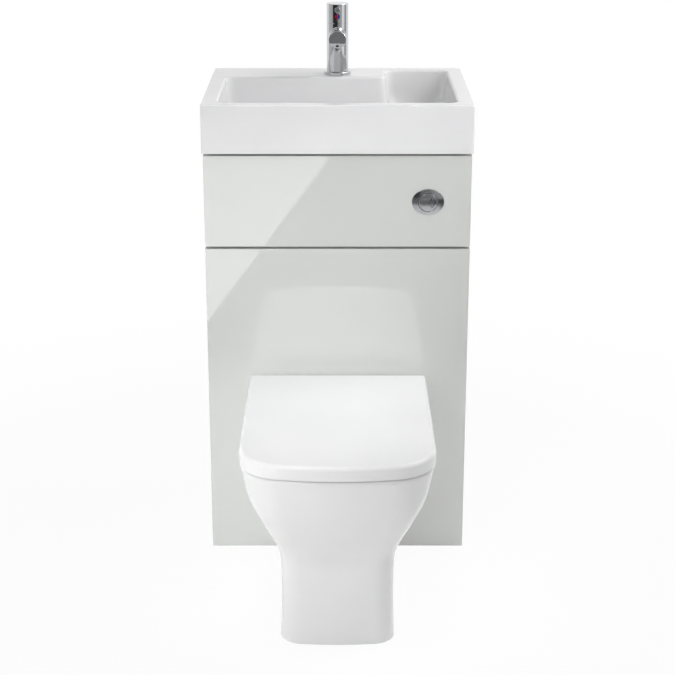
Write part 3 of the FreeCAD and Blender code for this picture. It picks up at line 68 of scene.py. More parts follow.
def linear(colour: str) -> tuple[float, float, float, float]:
    """Turn an sRGB hex colour into linear light, by the curve of its standard.

    Args:
        colour: Six hex digits after a hash sign.

    Returns:
        Red, green, blue and full alpha.
    """
    parts = [int(colour[i:i + 2], 16) / 255 for i in (1, 3, 5)]
    light = [c / 12.92 if c <= 0.04045 else ((c + 0.055) / 1.055) ** 2.4 for c in parts]
    return (*light, 1.0)


def per_metre(size_mm: float) -> float:
    """The texture scale whose features are about size_mm across."""
    return 1 / (size_mm * MM)


def add_node(tree: Tree, kind: str, inputs: Inputs | None = None, **settings: Any) -> bpy.types.Node:
    """Add a node, set its properties and feed its inputs.

    Args:
        tree: The node tree that gets the node.
        kind: Blender's type name of the node.
        inputs: Socket name or number to a value, or to the socket that feeds it.
        settings: Properties of the node.

    Returns:
        The new node.
    """
    node = tree.nodes.new(kind)
    for name, value in settings.items():
        setattr(node, name, value)
    for key, value in (inputs or {}).items():
        if isinstance(value, Socket):
            tree.links.new(value, node.inputs[key])
        else:
            node.inputs[key].default_value = value
    return node


@dataclass(frozen=True)
class Finish:
    """What every finish has: a name, a colour, a second shade that it drifts to, and a roughness."""

    DRIFT_DETAIL: ClassVar[float] = 2.0
    name: str
    colour: str
    shade: str
    roughness: float
    drift_mm: float = 120.0
    metallic: float = 0.0
    ior: float = 1.5
    coat: float = 0.0
    coat_roughness: float = 0.01
    coat_ior: float = 1.5

    def made(self) -> bpy.types.Material:
        """The finish's material, made when it is first asked for."""
        return bpy.data.materials.get(self.name) or self.material()

    def material(self) -> bpy.types.Material:
        """Make the material from its nodes.

        Returns:
            The new material.
        """
        made = bpy.data.materials.new(self.name)
        made.use_nodes = True
        tree = made.node_tree
        tree.nodes.clear()
        place = add_node(tree, "ShaderNodeTexCoord").outputs["Object"]
        shader = add_node(tree, "ShaderNodeBsdfPrincipled", {
            "Metallic": self.metallic, "IOR": self.ior, "Coat Weight": self.coat,
            "Coat Roughness": self.coat_roughness, "Coat IOR": self.coat_ior,
        })
        for name, socket in self.pattern(tree, place).items():
            tree.links.new(socket, shader.inputs[name])
        add_node(tree, "ShaderNodeOutputMaterial", {"Surface": shader.outputs["BSDF"]})
        return made

    def drift(self, tree: Tree, place: Socket) -> Socket:
        """The colour, going slowly from the main one to the shade and back.

        Args:
            tree: The material's tree.
            place: The coordinates of the pattern.

        Returns:
            The socket with the colour.
        """
        cloud = add_node(tree, "ShaderNodeTexNoise", {
            "Vector": place, "Scale": per_metre(self.drift_mm), "Detail": self.DRIFT_DETAIL,
        })
        low, high = NOISE_BAND
        share = add_node(tree, "ShaderNodeMapRange", {
            "Value": cloud.outputs["Fac"], "From Min": low, "From Max": high,
        })
        main, second = MIX_COLOURS
        mix = add_node(tree, "ShaderNodeMix", {
            "Factor": share.outputs["Result"], main: linear(self.colour), second: linear(self.shade),
        }, data_type="RGBA")
        return mix.outputs[MIX_COLOUR_OUT]

    def pattern(self, tree: Tree, place: Socket) -> dict[str, Socket]:
        """The sockets that feed the shader: colour, roughness and normal.

        Args:
            tree: The material's tree.
            place: The coordinates of the pattern.

        Returns:
            Shader socket name to the socket that feeds it.
        """
        raise NotImplementedError


@dataclass(frozen=True)
class Rippled(Finish):
    """A smooth surface that flowed and set: a slow ripple, and faint smears that change its gloss."""

    RIPPLE_DETAIL: ClassVar[float] = 1.0
    SMEAR_DETAIL: ClassVar[float] = 4.0
    SMEAR_BAND: ClassVar[tuple[float, float]] = (0.35, 0.7)
    ripple_mm: float = 20.0
    ripple_height_mm: float = 0.02
    smear_mm: float = 45.0
    smear: float = 0.03

    def pattern(self, tree: Tree, place: Socket) -> dict[str, Socket]:
        """Colour drift, smeared gloss and the ripple of the set surface.

        Args:
            tree: The material's tree.
            place: The coordinates of the pattern.

        Returns:
            Shader socket name to the socket that feeds it.
        """
        smears = add_node(tree, "ShaderNodeTexNoise", {
            "Vector": place, "Scale": per_metre(self.smear_mm), "Detail": self.SMEAR_DETAIL,
        })
        low, high = self.SMEAR_BAND
        gloss = add_node(tree, "ShaderNodeMapRange", {
            "Value": smears.outputs["Fac"], "From Min": low, "From Max": high,
            "To Min": self.roughness, "To Max": self.roughness + self.smear,
        })
        waves = add_node(tree, "ShaderNodeTexNoise", {
            "Vector": place, "Scale": per_metre(self.ripple_mm), "Detail": self.RIPPLE_DETAIL,
        })
        bump = add_node(tree, "ShaderNodeBump", {
            "Height": waves.outputs["Fac"], "Strength": 1.0, "Distance": self.ripple_height_mm * MM,
        })
        return {
            "Base Color": self.drift(tree, place), "Roughness": gloss.outputs["Result"],
            "Normal": bump.outputs["Normal"],
        }


@dataclass(frozen=True)
class Grained(Finish):
    """A surface with a fine even grain, as a spark-eroded mould, a rubber or a plated blank has.

    The real grain is about a tenth of a millimetre, and is drawn coarser so that it shows.
    """

    GRAIN_DETAIL: ClassVar[float] = 3.0
    grain_mm: float = 1.2
    grain_height_mm: float = 0.02
    spread: float = 0.08

    def pattern(self, tree: Tree, place: Socket) -> dict[str, Socket]:
        """Colour drift, and a grain that shows in gloss and relief.

        Args:
            tree: The material's tree.
            place: The coordinates of the pattern.

        Returns:
            Shader socket name to the socket that feeds it.
        """
        grain = add_node(tree, "ShaderNodeTexNoise", {
            "Vector": place, "Scale": per_metre(self.grain_mm), "Detail": self.GRAIN_DETAIL,
        })
        low, high = NOISE_BAND
        gloss = add_node(tree, "ShaderNodeMapRange", {
            "Value": grain.outputs["Fac"], "From Min": low, "From Max": high,
            "To Min": self.roughness - self.spread, "To Max": self.roughness + self.spread,
        })
        bump = add_node(tree, "ShaderNodeBump", {
            "Height": grain.outputs["Fac"], "Strength": 1.0, "Distance": self.grain_height_mm * MM,
        })
        return {
            "Base Color": self.drift(tree, place), "Roughness": gloss.outputs["Result"],
            "Normal": bump.outputs["Normal"],
        }


@dataclass(frozen=True)
class FacedBoard(Finish):
    """Chipboard with a melamine face on its broad sides and front edge, and bare chips on the other edges.

    The pearl of the face is drawn coarser than the real one, so that it shows.
    """

    # A side looks along an axis when its normal has more than this of it.
    FACE_LIMIT: ClassVar[float] = 0.7
    PEARL_DETAIL: ClassVar[float] = 2.0
    RELIEF_STRENGTH: ClassVar[float] = 0.5
    face: Axis = Axis.X
    pearl_mm: float = 1.6
    chip_mm: float = 3.0
    chip_dark: str = "#8f7352"
    chip_light: str = "#cdb491"
    chip_roughness: float = 0.85
    relief_mm: float = 0.1

    def faced(self, tree: Tree) -> Socket:
        """One on the broad sides and the banded front edge, nought on the bare edges.

        Args:
            tree: The material's tree.

        Returns:
            The socket with the answer.
        """
        normal = add_node(tree, "ShaderNodeTexCoord").outputs["Normal"]
        split = add_node(tree, "ShaderNodeSeparateXYZ", {"Vector": normal})
        size = add_node(tree, "ShaderNodeMath", {0: split.outputs[self.face.value]}, operation="ABSOLUTE")
        broad = {0: size.outputs[0], 1: self.FACE_LIMIT}
        front = {0: split.outputs["Y"], 1: -self.FACE_LIMIT}
        either = {
            0: add_node(tree, "ShaderNodeMath", broad, operation="GREATER_THAN").outputs[0],
            1: add_node(tree, "ShaderNodeMath", front, operation="LESS_THAN").outputs[0],
        }
        return add_node(tree, "ShaderNodeMath", either, operation="MAXIMUM").outputs[0]

    def pattern(self, tree: Tree, place: Socket) -> dict[str, Socket]:
        """Pearled face on the broad sides and the front edge, pressed chips on the other edges.

        Args:
            tree: The material's tree.
            place: The coordinates of the pattern.

        Returns:
            Shader socket name to the socket that feeds it.
        """
        chips = add_node(tree, "ShaderNodeTexVoronoi", {"Vector": place, "Scale": per_metre(self.chip_mm)})
        tone = add_node(tree, "ShaderNodeSeparateColor", {"Color": chips.outputs["Color"]})
        first, second = MIX_COLOURS
        wood = add_node(tree, "ShaderNodeMix", {
            "Factor": tone.outputs["Red"], first: linear(self.chip_dark), second: linear(self.chip_light),
        }, data_type="RGBA")
        faced = self.faced(tree)
        colour = add_node(tree, "ShaderNodeMix", {
            "Factor": faced, first: wood.outputs[MIX_COLOUR_OUT], second: self.drift(tree, place),
        }, data_type="RGBA")
        rough = add_node(tree, "ShaderNodeMapRange", {
            "Value": faced, "To Min": self.chip_roughness, "To Max": self.roughness,
        })
        pearl = add_node(tree, "ShaderNodeTexNoise", {
            "Vector": place, "Scale": per_metre(self.pearl_mm), "Detail": self.PEARL_DETAIL,
        })
        bare, covered = MIX_VALUES
        relief = add_node(tree, "ShaderNodeMix", {
            "Factor": faced, bare: chips.outputs["Distance"], covered: pearl.outputs["Fac"],
        })
        bump = add_node(tree, "ShaderNodeBump", {
            "Height": relief.outputs[MIX_VALUE_OUT], "Strength": self.RELIEF_STRENGTH,
            "Distance": self.relief_mm * MM,
        })
        return {
            "Base Color": colour.outputs[MIX_COLOUR_OUT], "Roughness": rough.outputs["Result"],
            "Normal": bump.outputs["Normal"],
        }


# Vitreous china under a fired clear glaze: cold white, deep gloss, a slow ripple where the glaze ran.
CHINA = Rippled(
    "glazed_vitreous_china", "#eeeeee", "#e9e9ea", 0.07, drift_mm=160, ior=1.54,
    ripple_mm=34, ripple_height_mm=0.03,
)
# Urea thermoset, compression moulded and polished: as white as the china and a little softer in gloss.
THERMOSET = Rippled(
    "polished_white_thermoset", "#f0f0f0", "#ebebec", 0.13, drift_mm=180,
    ripple_mm=40, ripple_height_mm=0.02,
)
# Board with a pressed acrylic face: pale grey and mirror-like, with faint orange peel from the board.
FRONT = Rippled(
    "high_gloss_grey_front", "#dfe1de", "#dcdedb", 0.015, drift_mm=220, ior=1.49, coat=1.0, coat_ior=1.75,
    ripple_mm=16, ripple_height_mm=0.0015, smear=0.01,
)
# Bright chrome plate over polished brass: near-neutral mirror with slow polishing waves.
CHROME = Rippled(
    "polished_chrome_plate", "#d0d1d3", "#c8c9cb", 0.05, drift_mm=30, metallic=1.0,
    ripple_mm=9, ripple_height_mm=0.004,
)
# Chrome plate on a moulded button: a shade darker than the tap's, and softer in what it mirrors.
BUTTON_CHROME = Rippled(
    "chrome_plated_button", "#c4c6c9", "#babcbf", 0.13, drift_mm=20, metallic=1.0,
    ripple_mm=7, ripple_height_mm=0.006,
)
# Injection-moulded ABS: off-white, with a dull even grain from the mould.
ABS = Grained("moulded_white_abs", "#e6e6e2", "#dededa", 0.42, drift_mm=90, grain_mm=1.4)
# Moulded polypropylene of traps and pipes: waxier and less even than ABS.
POLYPROPYLENE = Grained(
    "moulded_white_polypropylene", "#e2e3e1", "#d8dad8", 0.5, drift_mm=60,
    grain_mm=2.0, grain_height_mm=0.03,
)
# Moulded black EPDM rubber: dull, with the pale bloom that seals get.
RUBBER = Grained("black_epdm_rubber", "#1d1d1e", "#2a2a2b", 0.75, drift_mm=14, grain_mm=0.9, spread=0.1)
# Moulded thermoplastic rubber of the buffers: pale grey and matt.
BUFFER = Grained("pale_buffer_rubber", "#c9c9c6", "#bdbdba", 0.65, drift_mm=10, grain_mm=0.8)
# Zinc-plated steel: dull, clouded by the passivation.
ZINC = Grained(
    "zinc_plated_steel", "#a9abb0", "#8d9199", 0.34, drift_mm=7, metallic=1.0,
    grain_mm=1.0, grain_height_mm=0.01,
)
# Drawn copper tube: warm and bright, with darker patches.
COPPER = Grained(
    "drawn_copper", "#b8734f", "#8f5238", 0.3, drift_mm=12, metallic=1.0,
    grain_mm=0.9, grain_height_mm=0.006,
)
# Enamel filled into the tap's round marker: strong colour under a glassy skin.
RED = Rippled("red_enamel", "#b3141a", "#a31016", 0.12, drift_mm=6, ripple_mm=4, ripple_height_mm=0.01)
BLUE = Rippled("blue_enamel", "#1c3f9e", "#173489", 0.12, drift_mm=6, ripple_mm=4, ripple_height_mm=0.01)
# Chipboard faced with grey melamine: a pearled face, and pressed chips where a cut edge isn't banded.
SIDE_BOARD = FacedBoard("grey_faced_board_side", "#d2d5d2", "#cdd0cd", 0.38, face=Axis.X)
RAIL_BOARD = FacedBoard("grey_faced_board_rail", "#d2d5d2", "#cdd0cd", 0.38, face=Axis.Y)
SHELF_BOARD = FacedBoard("grey_faced_board_shelf", "#d2d5d2", "#cdd0cd", 0.38, face=Axis.Z)


def smoothed(mesh: bpy.types.Mesh, sharp_deg: float = 35.0) -> bpy.types.Mesh:
    """Shade a mesh smooth, apart from its sharp edges.

    Args:
        mesh: The mesh.
        sharp_deg: The angle from which an edge stays sharp.

    Returns:
        The same mesh.
    """
    mesh.polygons.foreach_set("use_smooth", [True] * len(mesh.polygons))
    mesh.set_sharp_from_angle(angle=math.radians(sharp_deg))
    return mesh


class Grower:
    """A Geometry Nodes tree with named inputs, which is run once and leaves a plain mesh."""

    def __init__(self, name: str, **inputs: str) -> None:
        """Start the tree.

        Args:
            name: The tree's name.
            inputs: The name of each input and the kind of its socket.
        """
        self.tree = bpy.data.node_groups.new(name, "GeometryNodeTree")
        face = self.tree.interface
        face.new_socket("Mesh", in_out="OUTPUT", socket_type="NodeSocketGeometry")
        face.new_socket("Seed", in_out="INPUT", socket_type="NodeSocketGeometry")
        face.new_socket("Finish", in_out="INPUT", socket_type="NodeSocketMaterial")
        for label, kind in inputs.items():
            face.new_socket(label, in_out="INPUT", socket_type=f"NodeSocket{kind}")
        self.given = self.add("NodeGroupInput").outputs

    def add(self, kind: str, inputs: Inputs | None = None, **settings: Any) -> bpy.types.Node:
        """Add a node to this tree."""
        return add_node(self.tree, kind, inputs, **settings)

    def close(self, shape: Socket) -> None:
        """End the tree: the instances become real and get their finish.

        Args:
            shape: The socket with the finished geometry.
        """
        real = self.add("GeometryNodeRealizeInstances", {"Geometry": shape})
        dressed = self.add("GeometryNodeSetMaterial", {
            "Geometry": real.outputs["Geometry"], "Material": self.given["Finish"],
        })
        self.add("NodeGroupOutput", {"Mesh": dressed.outputs["Geometry"]})

    def run(
        self, name: str, finish: Finish, seed: bpy.types.Mesh | None = None, **values: Any,
    ) -> bpy.types.Object:
        """Run the tree and keep its result as a plain mesh.

        Args:
            name: The name of the new piece.
            finish: The finish of the piece.
            seed: The mesh that the tree starts from.
            values: The value of each named input.

        Returns:
            The new piece, at the origin.
        """
        host = bpy.data.objects.new(f"{name}_host", seed or bpy.data.meshes.new(f"{name}_seed"))
        bpy.context.collection.objects.link(host)
        nodes = host.modifiers.new("grow", "NODES")
        nodes.node_group = self.tree
        values["Finish"] = finish.made()
        for item in self.tree.interface.items_tree:
            if item.in_out == "INPUT" and item.name in values:
                nodes[item.identifier] = values[item.name]
        mesh = bpy.data.meshes.new_from_object(host.evaluated_get(bpy.context.evaluated_depsgraph_get()))
        bpy.data.objects.remove(host)
        mesh.name = name
        piece = bpy.data.objects.new(name, smoothed(mesh))
        bpy.context.collection.objects.link(piece)
        return piece


def settle(piece: bpy.types.Object, body: str, slot: str, *nodes: str) -> None:
    """Tie a finished piece to the frame.

    Args:
        piece: The piece.
        body: The CAD body that it moves with.
        slot: Not used.
        nodes: The CAD nodes that it stands for.
    """
    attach(piece, body)
    if nodes:
        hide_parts(*nodes)
    LOG.info("piece %s rides on %s", piece.name, body)


@dataclass
class SubAssembly:
    """CAD nodes that are dressed together, and the pieces that the CAD leaves to this file."""

    WORN: ClassVar[dict[Finish, tuple[str, ...]]] = {}

    def build(self) -> None:
        """Make the pieces that the CAD leaves out, where there are any."""

    def dress(self) -> None:
        """Give each CAD node of the group its finish."""
        for finish, names in self.WORN.items():
            for name in names:
                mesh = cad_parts[name].data
                mesh.materials.clear()
                mesh.materials.append(finish.made())
                LOG.info("node %s wears %s", name, finish.name)


@dataclass
class Carcass(SubAssembly):
    """Boards, gloss fronts and the countersunk screws that hold the boards together."""

    WORN: ClassVar[dict[Finish, tuple[str, ...]]] = {
        FRONT: ("upper_front_panel", "lower_front_panel"),
        SIDE_BOARD: ("side_panel_left", "side_panel_right"),
        RAIL_BOARD: ("front_rails", "rear_rails"),
        SHELF_BOARD: ("cistern_shelf",),
        ABS: ("panel_pegs",),
        ZINC: ("carcass_screws", "wall_brackets"),
    }
    side_x_mm: float = 247.5
    head_radius_mm: float = 5.0
    head_depth_mm: float = 3.0
    head_sides: int = 32
    shank_radius_mm: float = 2.0
    shank_length_mm: float = 44.0
    recess_arms: int = 4
    recess_reach_mm: float = 2.7
    recess_half_mm: float = 0.62
    recess_depth_mm: float = 1.9
    recess_taper: float = 0.55
    turn_seed: int = 4
    front_y_mm: float = 80.0
    front_z_mm: tuple[float, ...] = (16.0, 54.0, 589.0, 647.0, 758.0, 784.0)
    rear_y_mm: float = 417.0
    rear_z_mm: tuple[float, ...] = (281.0, 319.0, 706.0, 784.0)
    shelf_z_mm: float = 417.0
    shelf_y_mm: tuple[float, ...] = (275.0, 393.0)

    def places(self) -> list[tuple[float, float]]:
        """Where the screws of one side are driven.

        Returns:
            The depth and height of each screw in millimetres.
        """
        front = [(self.front_y_mm, z) for z in self.front_z_mm]
        rear = [(self.rear_y_mm, z) for z in self.rear_z_mm]
        return front + rear + [(y, self.shelf_z_mm) for y in self.shelf_y_mm]

    def screw(self) -> bpy.types.Object:
        """One screw with its cross recess, its axis along Z and its head's face at the origin.

        Returns:
            The screw, which isn't linked to the scene.
        """
        shape = bmesh.new()
        turns = [math.tau * i / self.head_sides for i in range(self.head_sides)]

        def ring(radius: float, z: float) -> list[bmesh.types.BMVert]:
            """Points on a circle round the axis.

            Args:
                radius: The circle's radius in millimetres.
                z: Its height in millimetres.

            Returns:
                The points in order.
            """
            points = [(radius * math.cos(t) * MM, radius * math.sin(t) * MM, z * MM) for t in turns]
            return [shape.verts.new(point) for point in points]

        def cross(scale: float, z: float) -> list[bmesh.types.BMVert]:
            """Points of the recess's outline.

            Args:
                scale: The outline's size, as a share of the mouth's.
                z: Its height in millimetres.

            Returns:
                The points in order.
            """
            reach, half = self.recess_reach_mm * scale, self.recess_half_mm * scale
            arm = [(reach, -half), (reach, half), (half, half)]
            count = self.recess_arms
            spins = [Matrix.Rotation(math.tau * i / count, 2) for i in range(count)]
            points = [spin @ Vector(corner) for spin in spins for corner in arm]
            return [shape.verts.new((x * MM, y * MM, z * MM)) for x, y in points]

        def wall(first: Sequence[bmesh.types.BMVert], second: Sequence[bmesh.types.BMVert]) -> None:
            """Faces between two outlines with as many points.

            Args:
                first: The points of one outline.
                second: The points of the other.
            """
            count = len(first)
            for i in range(count):
                shape.faces.new((first[i], first[(i + 1) % count], second[(i + 1) % count], second[i]))

        rim, neck = ring(self.head_radius_mm, 0), ring(self.shank_radius_mm, -self.head_depth_mm)
        end = ring(self.shank_radius_mm, -self.shank_length_mm)
        mouth, pit = cross(1, 0), cross(self.recess_taper, -self.recess_depth_mm)
        wall(neck, rim)
        wall(end, neck)
        wall(mouth, pit)
        shape.faces.new(pit)
        shape.faces.new(end)
        edges = [shape.edges.get((v[i], v[i - 1])) for v in (rim, mouth) for i in range(len(v))]
        bmesh.ops.triangle_fill(shape, edges=edges, use_beauty=True, normal=(0, 0, 1))
        bmesh.ops.recalc_face_normals(shape, faces=shape.faces)
        mesh = bpy.data.meshes.new("crosshead_screw")
        shape.to_mesh(mesh)
        shape.free()
        return bpy.data.objects.new("crosshead_screw", mesh)

    def build(self) -> None:
        """Drive a screw at each place of both sides, each turned by its own amount."""
        grower = Grower("screw_field", Screw="Object", Turn="Float", Chance="Int")
        given = grower.given
        facing = grower.add("GeometryNodeInputNamedAttribute", {"Name": "facing"}, data_type="FLOAT_VECTOR")
        out = grower.add("FunctionNodeAlignRotationToVector", {
            "Vector": facing.outputs["Attribute"],
        }, axis="Z")
        angle = grower.add("FunctionNodeRandomValue", {
            "Max": given["Turn"], "Seed": given["Chance"],
        }, data_type="FLOAT")
        twist = grower.add("FunctionNodeAxisAngleToRotation", {
            "Axis": (0, 0, 1), "Angle": angle.outputs[1],
        })
        turned = grower.add("FunctionNodeRotateRotation", {
            "Rotation": out.outputs["Rotation"], "Rotate By": twist.outputs["Rotation"],
        }, rotation_space="LOCAL")
        screw = grower.add("GeometryNodeObjectInfo", {"Object": given["Screw"]})
        driven = grower.add("GeometryNodeInstanceOnPoints", {
            "Points": given["Seed"], "Instance": screw.outputs["Geometry"],
            "Rotation": turned.outputs["Rotation"],
        })
        grower.close(driven.outputs["Instances"])
        seed = bpy.data.meshes.new("screw_places")
        sides = (-1.0, 1.0)
        spots = [(side * self.side_x_mm * MM, y * MM, z * MM) for side in sides for y, z in self.places()]
        seed.from_pydata(spots, [], [])
        ways = seed.attributes.new("facing", "FLOAT_VECTOR", "POINT")
        for i, spot in enumerate(spots):
            ways.data[i].vector = (math.copysign(1.0, spot[0]), 0, 0)
        piece = grower.run(
            "carcass_crosshead_screws", ZINC, seed,
            Screw=self.screw(), Turn=math.tau, Chance=self.turn_seed,
        )
        settle(piece, "unit", "steel", "carcass_screws")


@dataclass
class BasinTop(SubAssembly):
    """The china basin, its push waste and the bottle trap under it."""

    WORN: ClassVar[dict[Finish, tuple[str, ...]]] = {
        CHINA: ("basin",),
        CHROME: ("waste_body", "waste_plug"),
        POLYPROPYLENE: ("trap_body", "trap_cup", "waste_nuts"),
        RUBBER: ("waste_seals",),
    }


@dataclass
class MixerTap(SubAssembly):
    """The monobloc tap, with the mesh disc of its aerator."""

    WORN: ClassVar[dict[Finish, tuple[str, ...]]] = {
        CHROME: (
            "tap_body", "tap_base_ring", "tap_head", "tap_lever", "tap_aerator",
            "cartridge_nut", "cartridge_stem",
        ),
        ABS: ("tap_cartridge",),
        RUBBER: ("tap_gasket",),
        ZINC: ("lever_pivot_pin", "tap_fixings"),
        COPPER: ("tap_tails",),
        RED: ("hot_marker",),
        BLUE: ("cold_marker",),
    }
    outlet_mm: tuple[float, float, float] = (0.0, 267.9, 961.5)
    outlet_tilt_deg: float = 140.0
    mesh_radius_mm: float = 3.45
    mesh_steps: int = 9
    wire_mm: float = 0.16
    wire_sides: int = 6

    def build(self) -> None:
        """Weave the aerator's mesh across its bore."""
        grower = Grower(
            "aerator_weave", Radius="Float", Wire="Float", Sides="Int", Steps="Int",
            Place="Vector", Tilt="Vector",
        )
        given = grower.given
        twice = {0: given["Radius"], 1: given["Radius"]}
        across = grower.add("ShaderNodeMath", twice, operation="ADD").outputs[0]
        grid = grower.add("GeometryNodeMeshGrid", {
            "Size X": across, "Size Y": across, "Vertices X": given["Steps"], "Vertices Y": given["Steps"],
        })
        spot = grower.add("GeometryNodeInputPosition").outputs["Position"]
        reach = grower.add("ShaderNodeVectorMath", {0: spot}, operation="LENGTH").outputs["Value"]
        outside = grower.add("FunctionNodeCompare", {
            "A": reach, "B": given["Radius"],
        }, operation="GREATER_THAN")
        disc = grower.add("GeometryNodeDeleteGeometry", {
            "Geometry": grid.outputs["Mesh"], "Selection": outside.outputs["Result"],
        })
        wires = grower.add("GeometryNodeMeshToCurve", {"Mesh": disc.outputs["Geometry"]})
        round_wire = grower.add("GeometryNodeCurvePrimitiveCircle", {
            "Resolution": given["Sides"], "Radius": given["Wire"],
        })
        woven = grower.add("GeometryNodeCurveToMesh", {
            "Curve": wires.outputs["Curve"], "Profile Curve": round_wire.outputs["Curve"],
        })
        set_in = grower.add("GeometryNodeTransform", {
            "Geometry": woven.outputs["Mesh"], "Translation": given["Place"], "Rotation": given["Tilt"],
        })
        grower.close(set_in.outputs["Geometry"])
        piece = grower.run(
            "aerator_mesh", ZINC, Radius=self.mesh_radius_mm * MM, Steps=self.mesh_steps,
            Wire=self.wire_mm * MM, Sides=self.wire_sides,
            Place=[c * MM for c in self.outlet_mm], Tilt=(math.radians(self.outlet_tilt_deg), 0, 0),
        )
        settle(piece, "unit", "tap_chrome")


@dataclass
class FlushButton(SubAssembly):
    """The dual flush button in the upper front."""

    WORN: ClassVar[dict[Finish, tuple[str, ...]]] = {
        BUTTON_CHROME: ("flush_bezel", "full_flush_button", "half_flush_button"),
        ABS: ("button_housing", "button_backnut"),
    }


@dataclass
class CisternGear(SubAssembly):
    """Cistern, valves and flush pipe, with the ribs moulded on the tank's back."""

    WORN: ClassVar[dict[Finish, tuple[str, ...]]] = {
        ABS: ("cistern_tank", "cistern_lid", "flush_valve", "flush_plunger", "fill_valve", "fill_float"),
        POLYPROPYLENE: ("flush_pipe", "cistern_backnuts"),
        RUBBER: ("plunger_seal", "flush_cone"),
        ZINC: ("cistern_screws",),
    }
    back_y_mm: float = 409.0
    rib_radius_mm: float = 1.8
    rib_sides: int = 12
    rib_low_mm: float = 446.0
    rib_length_mm: float = 228.0
    rib_step_mm: float = 27.0
    rib_count: int = 12

    def build(self) -> None:
        """Mould a row of half-round ribs on the tank's back."""
        grower = Grower(
            "tank_ribs", Count="Int", Start="Vector", Step="Vector", Length="Vector",
            Radius="Float", Sides="Int",
        )
        given = grower.given
        row = grower.add("GeometryNodeMeshLine", {
            "Count": given["Count"], "Start Location": given["Start"], "Offset": given["Step"],
        })
        line = grower.add("GeometryNodeCurvePrimitiveLine", {"End": given["Length"]})
        section = grower.add("GeometryNodeCurvePrimitiveCircle", {
            "Resolution": given["Sides"], "Radius": given["Radius"],
        })
        rib = grower.add("GeometryNodeCurveToMesh", {
            "Curve": line.outputs["Curve"], "Profile Curve": section.outputs["Curve"], "Fill Caps": True,
        })
        ribs = grower.add("GeometryNodeInstanceOnPoints", {
            "Points": row.outputs["Mesh"], "Instance": rib.outputs["Mesh"],
        })
        grower.close(ribs.outputs["Instances"])
        first_x = -self.rib_step_mm * (self.rib_count - 1) / 2
        piece = grower.run(
            "cistern_tank_ribs", ABS, Count=self.rib_count,
            Radius=self.rib_radius_mm * MM, Sides=self.rib_sides,
            Start=(first_x * MM, self.back_y_mm * MM, self.rib_low_mm * MM),
            Step=(self.rib_step_mm * MM, 0, 0), Length=(0, 0, self.rib_length_mm * MM),
        )
        settle(piece, "unit", "white_plastic")


@dataclass
class Pan(SubAssembly):
    """The china pan, its floor fixings and the connector to the drain with its moulded rings."""

    WORN: ClassVar[dict[Finish, tuple[str, ...]]] = {
        CHINA: ("pan",),
        ABS: ("pan_screw_caps",),
        POLYPROPYLENE: ("pan_connector",),
        RUBBER: ("connector_seal",),
        ZINC: ("pan_side_screws", "pan_brackets"),
    }
    tail_radius_mm: float = 55.0
    tail_sides: int = 72
    tail_z_mm: float = 180.0
    ring_radius_mm: float = 1.4
    ring_sides: int = 12
    ring_first_mm: float = 352.0
    ring_step_mm: float = 12.0
    ring_count: int = 3

    def build(self) -> None:
        """Mould stiffening rings round the connector's tail, which runs along Y."""
        grower = Grower(
            "tail_rings", Count="Int", Start="Vector", Step="Vector", Turn="Vector",
            Tail="Float", TailSides="Int", Ring="Float", RingSides="Int",
        )
        given = grower.given
        row = grower.add("GeometryNodeMeshLine", {
            "Count": given["Count"], "Start Location": given["Start"], "Offset": given["Step"],
        })
        loop = grower.add("GeometryNodeCurvePrimitiveCircle", {
            "Resolution": given["TailSides"], "Radius": given["Tail"],
        })
        section = grower.add("GeometryNodeCurvePrimitiveCircle", {
            "Resolution": given["RingSides"], "Radius": given["Ring"],
        })
        ring = grower.add("GeometryNodeCurveToMesh", {
            "Curve": loop.outputs["Curve"], "Profile Curve": section.outputs["Curve"],
        })
        rings = grower.add("GeometryNodeInstanceOnPoints", {
            "Points": row.outputs["Mesh"], "Instance": ring.outputs["Mesh"], "Rotation": given["Turn"],
        })
        grower.close(rings.outputs["Instances"])
        piece = grower.run(
            "connector_tail_rings", POLYPROPYLENE, Count=self.ring_count, Turn=(math.pi / 2, 0, 0),
            Tail=self.tail_radius_mm * MM, TailSides=self.tail_sides,
            Ring=self.ring_radius_mm * MM, RingSides=self.ring_sides,
            Start=(0, self.ring_first_mm * MM, self.tail_z_mm * MM), Step=(0, self.ring_step_mm * MM, 0),
        )
        settle(piece, "unit", "white_plastic")


@dataclass
class SeatAndLid(SubAssembly):
    """Seat, lid, their buffers and the hinge."""

    WORN: ClassVar[dict[Finish, tuple[str, ...]]] = {
        THERMOSET: ("seat_ring", "seat_lid"),
        BUFFER: ("seat_buffers", "lid_buffers"),
        CHROME: ("hinge_posts",),
        ZINC: ("hinge_pins",),
        ABS: ("hinge_nuts",),
    }


BUTTON_PIECES = FlushButton.WORN[BUTTON_CHROME]


@dataclass(frozen=True)
class Lamp:
    """A soft rectangular lamp: where it hangs, what it looks at, how large and how strong it is.

    A lamp may light some nodes only, or spare some, and may stay out of what glossy surfaces show.
    """

    name: str
    place: tuple[float, float, float]
    target: tuple[float, float, float]
    size: tuple[float, float]
    watts: float
    roll_deg: float = 0.0
    spread_deg: float = 180.0
    mirrored: bool = True
    only: tuple[str, ...] = ()
    spares: tuple[str, ...] = ()


@dataclass(frozen=True)
class Card:
    """A grey card just over the floor that only glossy surfaces show.

    With a fade, it goes from its level at the first depth to white at the second.
    """

    name: str
    across: tuple[float, float]
    along: tuple[float, float]
    height: float
    level: float
    fade: tuple[float, float] | None = None

    def corners(self) -> list[tuple[float, float, float]]:
        """The card's corners.

        Returns:
            Four points, in order round the card.
        """
        (left, right), (front, back) = self.across, self.along
        flat = ((left, front), (right, front), (right, back), (left, back))
        return [(x, y, self.height) for x, y in flat]


